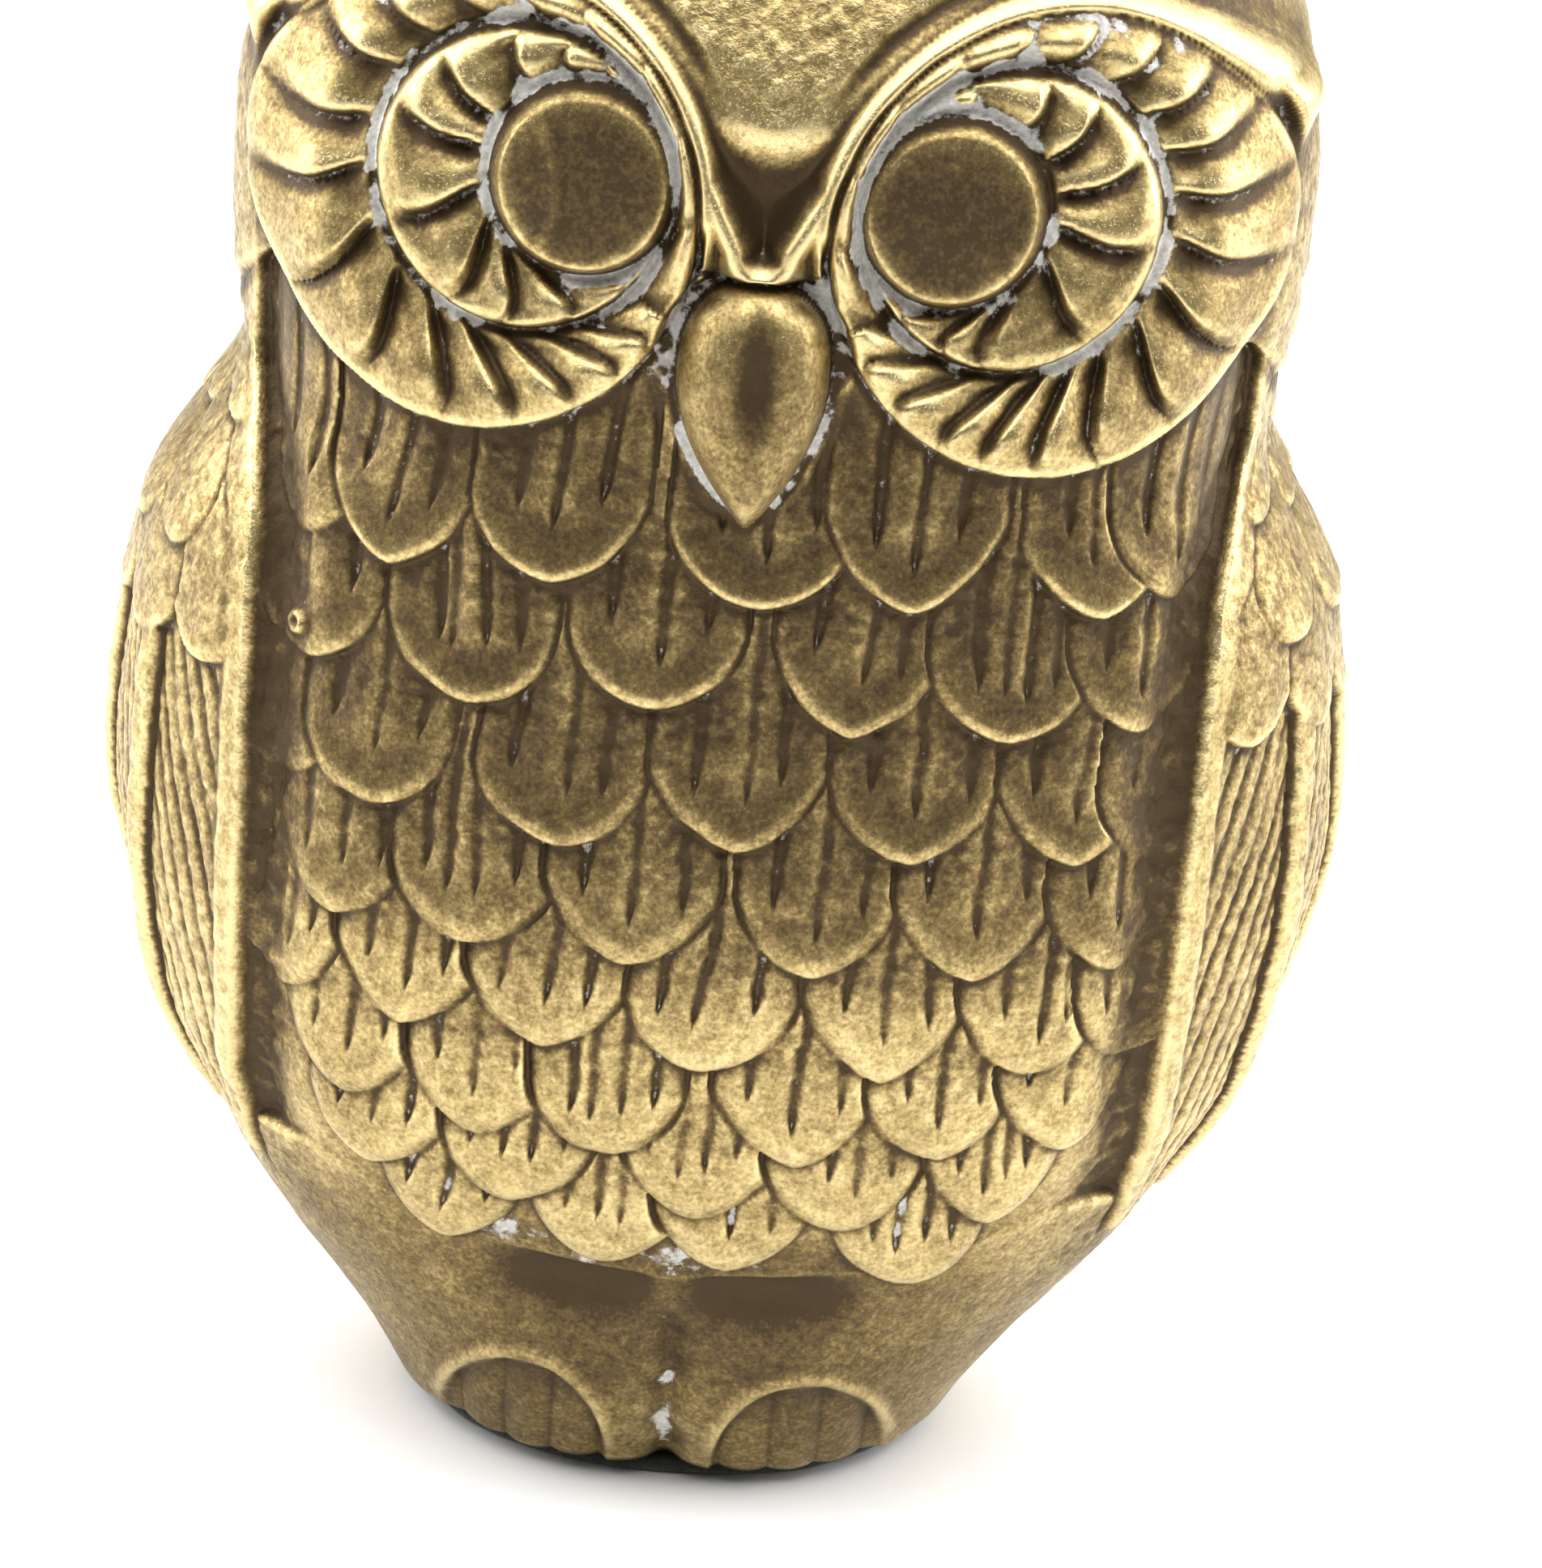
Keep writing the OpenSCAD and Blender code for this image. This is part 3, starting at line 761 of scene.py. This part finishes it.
        masks["residue"] += shown * total(ring_gap=1, eye_gap=1, under_brow=1, moat=1, roots=0.35)
        lift("rough", parts["forehead"])
        # Painted reflection darkens the eyes, the valley of the bridge and the beak's spindle; painted shade
        # darkens the petals' roots under the crests before them and, faintly, the discs.
        lift("dark", shown * unit(total(eye=0.54, valley=0.85, beak_mid=0.7, disc=0.12, roots=0.25)))
        # Painted highlight on the forehead, along the V edge and down the bridge; the brow's crest, the disc
        # rims and the beak are worn bright.
        lift("polish_and_painted_highlight", shown * np.clip(
            total(crest=1, v_line=0.8, rim=0.25, beak=0.1, forehead=1.6)
            + 0.7 * parts["bridge"] * (1 - parts["valley"]), 0, 1.6))
        masks["residue"] *= np.clip(0.70 + 0.85 * noise(points, 1.7, 31) + 0.5 * noise(points, 0.7, 32), 0, 1.5)
        # Painted reflection: the upper breast darker, the lower breast lighter, and the scooped hollows of the
        # upper feathers darker.
        masks["shade"] = (0.06 * ramp(z, 33, 48) * ramp(z, 78, 66) * ramp(ax, 27, 16)
                          - 0.12 * ramp(z, 40, 33) * ramp(z, 16, 20) + 0.25 * masks["hollow"])
    lift("rough", ramp(z, 93, 98) * (1 - masks["polish_and_painted_highlight"]))
    lift("rough", masks["root"] * 0.8 * ramp(z, 70, 66))

    # the hand of the mould maker, and the grain of the sand it was cast in
    relief += 0.14 * noise(points, 6.0, 11) + 0.05 * noise(points, 1.9, 12)
    grain = 0.6 * noise(points, 0.55, 13) + 0.4 * noise(points, 1.0, 14)
    relief += 0.15 * grain * masks["rough"] + 0.02 * grain * (1 - masks["polish_and_painted_highlight"])
    return relief, masks


def directions(points, normals, side):
    """Relief goes along the surface's normal, and straight forward on the face."""
    z = points[..., 2]
    forward = np.zeros_like(normals)
    forward[..., 1] = -1.0
    share = np.zeros_like(z)
    if side < 0:
        share = ramp(z, 62, 69) * ramp(z, 103, 95) * ramp(-normals[..., 1], 0.12, 0.6)
    way = mix(normals, forward, share[..., None])
    way[:, 0, 1] = way[:, -1, 1] = 0.0
    return way / np.linalg.norm(way, axis=-1, keepdims=True)


# ---- meshes ----


def place_object(name, data):
    made = bpy.data.objects.new(name, data)
    bpy.context.scene.collection.objects.link(made)
    return made


def make_mesh(name, points, polygons):
    """A mesh from points in mm and polygons of any number of corners."""
    mesh = bpy.data.meshes.new(name)
    sizes = np.concatenate([np.full(len(group), group.shape[1]) for group in polygons])
    corners = np.concatenate([group.ravel() for group in polygons]).astype(np.int32)
    mesh.vertices.add(len(points))
    mesh.vertices.foreach_set("co", (np.asarray(points) * MM).astype(np.float32).ravel())
    mesh.loops.add(len(corners))
    mesh.loops.foreach_set("vertex_index", corners)
    mesh.polygons.add(len(sizes))
    mesh.polygons.foreach_set("loop_start", np.concatenate([[0], np.cumsum(sizes)[:-1]]).astype(np.int32))
    mesh.polygons.foreach_set("use_smooth", np.full(len(sizes), True))
    mesh.update(calc_edges=True)
    mesh.validate()
    return place_object(name, mesh)


def numbers(points, start=0):
    """The number of each vertex of a grid of points."""
    return start + np.arange(points[..., 0].size).reshape(points.shape[:-1])


def grid_quads(at, turned=False):
    """Quads of a grid of vertex numbers, seen from outside on the front half."""
    quads = np.stack([at[:-1, :-1], at[:-1, 1:], at[1:, 1:], at[1:, :-1]], axis=-1).reshape(-1, 4)
    return quads[:, ::-1] if turned else quads


def attribute(made, name, values):
    layer = made.data.attributes.new(name, "FLOAT", "POINT")
    layer.data.foreach_set("value", values.astype(np.float32).ravel())


def shell(name, side, base, cols, relief, way, layers):
    """A hollow half casting: sculpted outside, plain inside, closed at its rims."""
    outer = base + relief[..., None] * way
    outer[..., 1] = side * np.maximum(side * outer[..., 1], seam_t / 2)
    rows = len(outer)
    inner = half_surface(side, cols, wall)
    row_pick = np.unique([*range(0, rows, INNER_STEP), rows - 1])
    col_pick = np.arange(0, cols + 1, INNER_STEP)
    inner = inner[np.ix_(row_pick, col_pick)]
    pole = np.array([[0, side * seam_t / 2, overall_h + POLE_LIFT]])
    inner_pole = np.array([[0, side * seam_t / 2, overall_h - wall]])
    points = np.concatenate([outer.reshape(-1, 3), inner.reshape(-1, 3), pole, inner_pole])
    top, inner_top = len(points) - 2, len(points) - 1
    out_at = numbers(outer)
    in_at = numbers(inner, out_at.size)
    turned = side > 0

    # the two skins and their crowns, then the underside, then both faces at the seam
    groups = [grid_quads(out_at, turned), grid_quads(in_at, not turned)]
    for run, last, flip in ((out_at[-1], top, turned), (in_at[-1], inner_top, not turned)):
        fan = np.stack([run[:-1], run[1:], np.full(len(run) - 1, last)], axis=-1)
        groups.append(fan[:, ::-1] if flip else fan)

    def close(corners, flip):
        groups.append(np.array([corners[::-1] if flip else corners]))

    for i in range(len(col_pick) - 1):
        run = list(out_at[0, col_pick[i]:col_pick[i + 1] + 1])
        close(run[::-1] + [in_at[0, i], in_at[0, i + 1]], turned)
    for column, flip in ((0, turned), (-1, not turned)):
        for j in range(len(row_pick) - 1):
            run = list(out_at[row_pick[j]:row_pick[j + 1] + 1, column])
            close(run + [in_at[j + 1, column], in_at[j, column]], flip)
        close([out_at[-1, column], top, inner_top, in_at[-1, column]], flip)
    made = make_mesh(name, points, groups)
    for layer, values in layers.items():
        full = np.zeros(len(points))
        full[:out_at.size] = values.ravel()
        full[top] = values[-1].mean()
        attribute(made, layer, full)
    return made, outer


def patina(relief, masks):
    """How worn, how dark and how dusty each place is, from how it stands, with painted shade and painted
    reflection from the dark and shade masks.
    """
    rows_mm = BODY_ROWS / BODY_RUN
    cols_mm = (relief.shape[1] - 1) / HALF_ROUND
    near, wide, broad = (relief - blur(relief, size * rows_mm, size * cols_mm) for size in (0.5, 1.8, 5.0))
    # Wear on high places, with the painted reflection of the shade mask taken off it.
    wear_and_painted_reflection = unit(0.52 + near / 0.16 * 0.3 + wide / 0.9 * 0.3 - masks["shade"])
    patina_and_painted_shade = unit(-near / 0.2 * 0.35 - wide / 0.9 * 0.35 - broad / 2.6 * 0.25)
    # Painted shade and painted reflection from the dark mask join the patina in the hollows.
    patina_and_painted_shade = np.maximum(patina_and_painted_shade, 0.8 * masks["dark"])
    residue = np.clip(masks["residue"], 0, 1.2) * unit(0.7 - wide / 0.8)
    residue = np.maximum(residue, unit(masks["cut"] * 0.55 - near / 0.5) * 0.5)
    return {"wear_and_painted_reflection": wear_and_painted_reflection, "patina_and_painted_shade": patina_and_painted_shade, "residue": residue, "rough": masks["rough"],
            "polish_and_painted_highlight": masks["polish_and_painted_highlight"] * (1 - unit(masks["residue"]))}


def casting(name, side, base, cols, run, seed):
    relief, masks = sculpt(base, side, run, seed)
    way = directions(base, surface_normals(base, side), side)
    return shell(name, side, base, cols, relief, way, patina(relief, masks))


front_casting, front_skin = casting("owl_front_casting", -1, front, FRONT_COLS, front_run, 21)
back_casting, _ = casting("owl_back_casting", 1, back, BACK_COLS, back_run, 22)


# ---- the smaller pieces ----


def foot_loop(inset, count, wobble, seed):
    """The foot's outline, drawn in by `inset`, as points in mm going round."""
    turn = np.linspace(0, 2 * math.pi, count, endpoint=False)
    rough = np.random.default_rng(seed)
    drift = np.zeros(count)
    for waves in (5, 9, 17, 31, 57):
        drift += rough.normal(0, 1 / waves ** 0.5) * np.sin(waves * turn + rough.uniform(0, 6.28))
    s, c = np.cos(turn), np.sin(turn)
    a = foot_w / 2 - inset + wobble * drift
    b = np.where(c < 0, toe_d, tail_d) - inset + wobble * drift
    radius = ((np.abs(s) / a) ** foot_pow + (np.abs(c) / b) ** foot_pow) ** (-1 / foot_pow)
    return np.stack([radius * s, radius * c + np.sign(c) * seam_t / 2], axis=-1)


def lathe_foot(name, profile, count, wobble, seed, bumps, hole=0.0):
    """A solid that follows the foot's outline: profile is (inset, z) going round.

    A row without an inset is a circle of the hole's diameter instead.
    """
    points = []
    for inset, z in profile:
        if inset is None:
            turn = np.linspace(0, 2 * math.pi, count, endpoint=False)
            loop = hole / 2 * np.stack([np.cos(turn), np.sin(turn)], axis=-1)
        else:
            loop = foot_loop(inset, count, wobble, seed)
        points.append(np.column_stack([loop, np.full(count, z)]))
    points = np.array(points)
    points += bumps * np.stack([noise(points, 1.1, seed + k) for k in range(3)], axis=-1)
    at = np.pad(numbers(points), ((0, 1), (0, 1)), mode="wrap")
    return make_mesh(name, points.reshape(-1, 3), [grid_quads(at)])


def seam_strip(name):
    """The brazed line between the halves: a low uneven bead over a flat strip."""
    outer = np.concatenate([front_skin[:, 0], [[0, 0, overall_h + POLE_LIFT]], front_skin[::-1, -1]])
    inner_z, closing, shares = row_places(wall)
    inner_x = (outline(shares, 1) - wall) * closing
    inner_left = np.stack([-inner_x, 0 * inner_x, inner_z], axis=-1)
    inner = np.concatenate([inner_left, [[0, 0, overall_h - wall]], inner_left[::-1] * [-1, 1, 1]])
    along = outer - inner
    along[:, 1] = 0
    along /= np.linalg.norm(along, axis=1, keepdims=True)
    lump = 0.05 + 0.035 * noise(outer, 1.3, 31) + 0.02 * noise(outer, 0.5, 32)
    sections = []
    for y, rise in ((-1.0, -0.02), (-0.6, 0.35), (-0.2, 0.9), (0.2, 1.0), (0.6, 0.4), (1.0, -0.02)):
        place = outer + along * (lump * rise)[:, None]
        place[:, 1] = y * seam_t / 2
        sections.append(place)
    for y in (1.0, -1.0):
        place = inner.copy()
        place[:, 1] = y * seam_t / 2
        sections.append(place)
    points = np.array(sections)
    points[:, :, 2] = np.maximum(points[:, :, 2], foot_z)
    at = numbers(points)
    ends = [at[:, 0][None, :], at[:, -1][None, ::-1]]
    ring = np.pad(at, ((0, 1), (0, 0)), mode="wrap")
    return make_mesh(name, points.reshape(-1, 3), [grid_quads(ring)] + ends)


seam_bead = seam_strip("owl_seam_braze")
plate_bottom, plate_top = plate_low[2], plate_high[2]
plate_inset = foot_w / 2 - plate_high[0]
plate = lathe_foot("owl_base_plate", (
    (plate_inset + 0.35, plate_bottom), (plate_inset + 0.1, plate_bottom + 0.1),
    (plate_inset, plate_bottom + 0.35), (plate_inset, plate_top - 0.3),
    (plate_inset + 0.12, plate_top - 0.08), (plate_inset + 0.4, plate_top),
    (None, plate_top), (None, plate_bottom)), 160, 0.0, 41, 0.03, vent_d)
solder_bottom, solder_top = solder_low[2], solder_high[2]
solder_inset = foot_w / 2 - solder_high[0]
solder = lathe_foot("owl_base_solder", (
    (plate_inset, solder_bottom), (plate_inset, solder_top), (solder_inset, solder_top),
    (solder_inset, solder_bottom + 0.02)), 240, 0.0, 43, 0.02)
felt_t, felt_edge = felt_high[2], foot_w / 2 - felt_high[0]
felt = lathe_foot("owl_felt_pad", (
    (10.5, 0.05), (6.0, 0.03), (2.5, 0.02), (felt_edge + 0.5, 0.0), (felt_edge + 0.16, 0.12),
    (felt_edge, 0.35 * felt_t), (felt_edge - 0.02, 0.6 * felt_t), (felt_edge + 0.05, 0.8 * felt_t),
    (felt_edge + 0.25, felt_t - 0.08), (felt_edge + 0.8, felt_t),
    (3.0, felt_t), (6.0, felt_t), (10.5, felt_t)), 300, 0.035, 47, 0.05)

# ---- materials ----


class Nodes:
    """Short names for the few kinds of node used here."""

    def __init__(self, name):
        self.material = bpy.data.materials.new(name)
        self.material.use_nodes = True
        self.tree = self.material.node_tree
        self.shader = self.tree.nodes["Principled BSDF"]
        self.place = self.add("ShaderNodeTexCoord").outputs["Object"]

    def add(self, kind, **inputs):
        node = self.tree.nodes.new(kind)
        for key, value in inputs.items():
            self.put(node.inputs[key.replace("_", " ")], value)
        return node

    def put(self, socket, value):
        if isinstance(value, bpy.types.NodeSocket):
            self.tree.links.new(value, socket)
        else:
            socket.default_value = value

    def math(self, operation, a, b=0.0, clamp=False):
        node = self.tree.nodes.new("ShaderNodeMath")
        node.operation, node.use_clamp = operation, clamp
        self.put(node.inputs[0], a)
        self.put(node.inputs[1], b)
        return node.outputs[0]

    def noise(self, size_mm, detail=3.0, rough=0.55, distort=0.0):
        node = self.add("ShaderNodeTexNoise", Vector=self.place, Scale=1 / (size_mm * MM),
                        Detail=detail, Roughness=rough, Distortion=distort)
        return node.outputs["Fac"]

    def layer(self, name):
        node = self.tree.nodes.new("ShaderNodeAttribute")
        node.attribute_name = name
        return node.outputs["Fac"]

    def span(self, value, low, high, out_low=0.0, out_high=1.0):
        node = self.add("ShaderNodeMapRange", Value=value, From_Min=low, From_Max=high,
                        To_Min=out_low, To_Max=out_high)
        node.interpolation_type = "SMOOTHSTEP"
        return node.outputs["Result"]

    def blend(self, share, a, b):
        node = self.tree.nodes.new("ShaderNodeMix")
        node.data_type = "RGBA"
        self.put(node.inputs["Factor"], share)
        self.put(node.inputs["A"], a)
        self.put(node.inputs["B"], b)
        return node.outputs["Result"]

    def colours(self, value, stops):
        node = self.add("ShaderNodeValToRGB", Fac=value)
        elements = node.color_ramp.elements
        while len(elements) < len(stops):
            elements.new(0.5)
        for element, (at, colour) in zip(elements, stops):
            element.position = at
            element.color = (*colour, 1)
        return node.outputs["Color"]

    def swing(self, value, amount):
        """A value from 0 to 1 as a change that swings either way about none."""
        return self.math("MULTIPLY", self.math("SUBTRACT", value, 0.5), amount)

    def use(self, name, value):
        self.put(self.shader.inputs[name], value)

    def bump(self, height, distance_mm, strength):
        node = self.add("ShaderNodeBump", Height=height, Distance=distance_mm * MM, Strength=strength)
        self.use("Normal", node.outputs["Normal"])


def antique_brass(name):
    """Cast brass: worn bright on high places, brown in low ones, dusty in the deepest; painted shade, painted
    reflections and painted highlights from the masks also lighten and darken it.
    """
    n = Nodes(name)
    wear_and_painted_reflection, patina_and_painted_shade, residue = n.layer("wear_and_painted_reflection"), n.layer("patina_and_painted_shade"), n.layer("residue")
    rough, polish_and_painted_highlight = n.layer("rough"), n.layer("polish_and_painted_highlight")
    speck, fleck, cloud = n.noise(0.28, 2.0, 0.6), n.noise(0.8, 4.0, 0.65), n.noise(6.0, 3.0, 0.5)
    gleam = n.math("ADD", wear_and_painted_reflection, n.math("MULTIPLY", polish_and_painted_highlight, 0.22))
    gleam = n.math("SUBTRACT", gleam, n.math("MULTIPLY", patina_and_painted_shade, 0.9))
    for value, amount in ((speck, 0.75), (fleck, 0.8), (cloud, 0.45)):
        gleam = n.math("ADD", gleam, n.swing(value, amount))
    gleam = n.math("SUBTRACT", gleam, n.math("MULTIPLY", rough, 0.16), clamp=True)
    metal = n.colours(gleam, (
        (0.0, (0.062, 0.039, 0.016)), (0.25, (0.135, 0.092, 0.038)), (0.48, (0.25, 0.182, 0.076)),
        (0.70, (0.42, 0.318, 0.138)), (1.0, (0.68, 0.54, 0.27))))
    dusty = n.span(n.math("ADD", residue, n.swing(n.noise(0.5, 4.0, 0.7), 0.9)), 0.42, 0.66)
    dust = n.colours(n.noise(0.35, 3.0, 0.6), ((0.3, (0.42, 0.40, 0.35)), (0.7, (0.70, 0.69, 0.66))))
    n.use("Base Color", n.blend(dusty, metal, dust))
    bare = n.math("MULTIPLY", dusty, 0.95)
    n.use("Metallic", n.math("SUBTRACT", n.span(gleam, 0.0, 0.45, 0.72, 1.0), bare, clamp=True))
    gloss = n.math("ADD", n.span(gleam, 0.1, 0.9, 0.56, 0.37), n.math("MULTIPLY", dusty, 0.4))
    n.use("Roughness", n.math("ADD", gloss, n.swing(fleck, 0.18), clamp=True))
    coarse = n.math("ADD", n.math("MULTIPLY", rough, 0.8), 0.16)
    grain = n.math("MULTIPLY", n.noise(0.34, 3.0, 0.6), coarse)
    pits = n.math("MULTIPLY", n.span(n.noise(0.16, 2.0, 0.6), 0.3, 0.44), 0.14)
    n.bump(n.math("ADD", grain, pits), 0.10, 0.9)
    return n.material


def plain_metal(name, dark, light, gloss, scale_mm, depth_mm):
    """A sheet or a filler metal with mottled tarnish and fine scratches."""
    n = Nodes(name)
    mottle = n.noise(scale_mm, 5.0, 0.65, 0.4)
    fine = n.noise(scale_mm * 0.16, 3.0, 0.6)
    share = n.math("ADD", n.math("MULTIPLY", mottle, 0.7), n.math("MULTIPLY", fine, 0.3))
    n.use("Base Color", n.colours(share, ((0.3, dark), (0.7, light))))
    n.use("Metallic", 1.0)
    n.use("Roughness", n.span(share, 0.3, 0.7, gloss + 0.16, gloss - 0.06))
    n.bump(fine, depth_mm, 0.8)
    return n.material


def felt_cloth(name):
    """Pressed wool: short tangled fibres, darker in the hollows."""
    n = Nodes(name)
    fibre = n.noise(0.22, 4.0, 0.75, 1.2)
    tuft = n.noise(1.4, 3.0, 0.6, 0.6)
    share = n.math("ADD", n.math("MULTIPLY", fibre, 0.65), n.math("MULTIPLY", tuft, 0.35))
    n.use("Base Color", n.colours(share, ((0.32, (0.008, 0.011, 0.008)), (0.7, (0.022, 0.034, 0.022)))))
    n.use("Roughness", 0.95)
    n.use("Sheen Weight", 0.35)
    n.use("Sheen Roughness", 0.5)
    n.bump(share, 0.25, 1.0)
    return n.material


brass = antique_brass("antique_cast_brass")
braze = plain_metal("braze_line", (0.09, 0.06, 0.025), (0.42, 0.30, 0.12), 0.42, 1.2, 0.05)
sheet = plain_metal("sheet_brass", (0.30, 0.20, 0.07), (0.62, 0.45, 0.17), 0.38, 3.0, 0.03)
tin = plain_metal("soft_solder", (0.20, 0.19, 0.18), (0.52, 0.51, 0.49), 0.40, 1.5, 0.06)
for piece, node, slot, material in (
    (front_casting, "front_casting", "cast_brass", brass),
    (back_casting, "back_casting", "cast_brass", brass),
    (seam_bead, "seam_braze", "braze", braze),
    (plate, "base_plate", "sheet_brass", sheet),
    (solder, "base_solder", "solder", tin),
    (felt, "felt_pad", "felt", felt_cloth("green_felt")),
):
    piece.data.materials.append(material)
    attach(piece, "root")
    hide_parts(node)

# ---- floor, light and camera ----

FLOOR_HALF = 3.0
floor_mesh = bpy.data.meshes.new("pale_floor")
floor_mesh.from_pydata([(FLOOR_HALF * x, FLOOR_HALF * y, 0) for x, y in ((-1, -1), (1, -1), (1, 1), (-1, 1))],
                       [], [(0, 1, 2, 3)])
floor = place_object("pale_floor", floor_mesh)
paper = Nodes("floor_paper")
paper.use("Base Color", paper.colours(
    paper.noise(40.0, 2.0), ((0.3, (0.86, 0.86, 0.86)), (0.7, (0.89, 0.89, 0.89)))))
paper.use("Roughness", 0.9)
paper.bump(paper.noise(0.4, 2.0), 0.01, 0.3)
floor.data.materials.append(paper.material)


def softbox(name, place, target, width, height, watts):
    light = bpy.data.lights.new(name, "AREA")
    light.shape, light.size, light.size_y, light.energy = "RECTANGLE", width, height, watts
    made = place_object(name, light)
    made.location = place
    made.rotation_euler = (Vector(target) - Vector(place)).to_track_quat("-Z", "Y").to_euler()


softbox("top_softbox", (0.0, -0.06, 0.62), (0, -0.02, 0.0), 0.8, 0.9, 8.5)
softbox("left_softbox", (-0.5, 0.10, 0.30), (0, 0.02, 0.05), 0.5, 0.5, 4.4)
softbox("right_softbox", (0.5, 0.12, 0.30), (0, 0.02, 0.05), 0.5, 0.5, 4.4)
softbox("back_softbox", (0.0, 1.1, 0.7), (0, 0.5, 0.0), 1.2, 0.6, 11)

world = bpy.data.worlds.new("studio")
world.use_nodes = True
background = world.node_tree.nodes["Background"]
background.inputs["Color"].default_value = (1.0, 1.0, 1.0, 1)
background.inputs["Strength"].default_value = 0.12
bpy.context.scene.world = world
bpy.context.scene.view_settings.view_transform = "Standard"

# The photo's camera looks down at the owl, leans a little, and aims at its breast
TILT, ROLL, DISTANCE, LENS = math.radians(20), math.radians(5.3), 340, 126.4
aim = Vector((3.1, 0, 40.07))
right = Vector((1, 0, 0))
up = Vector((0, math.sin(TILT), math.cos(TILT)))
away = Vector((0, math.cos(TILT), -math.sin(TILT)))
turned_right = right * math.cos(ROLL) + up * math.sin(ROLL)
turned_up = up * math.cos(ROLL) - right * math.sin(ROLL)
camera_data = bpy.data.cameras.new("camera")
camera_data.sensor_width = 36
camera_data.lens = LENS
camera_data.clip_start, camera_data.clip_end = 0.01, 20
camera = place_object("camera", camera_data)
axes = Matrix((turned_right, turned_up, -away)).transposed().to_4x4()
camera.matrix_world = Matrix.Translation((aim - away * DISTANCE) * MM) @ axes
bpy.context.scene.camera = camera
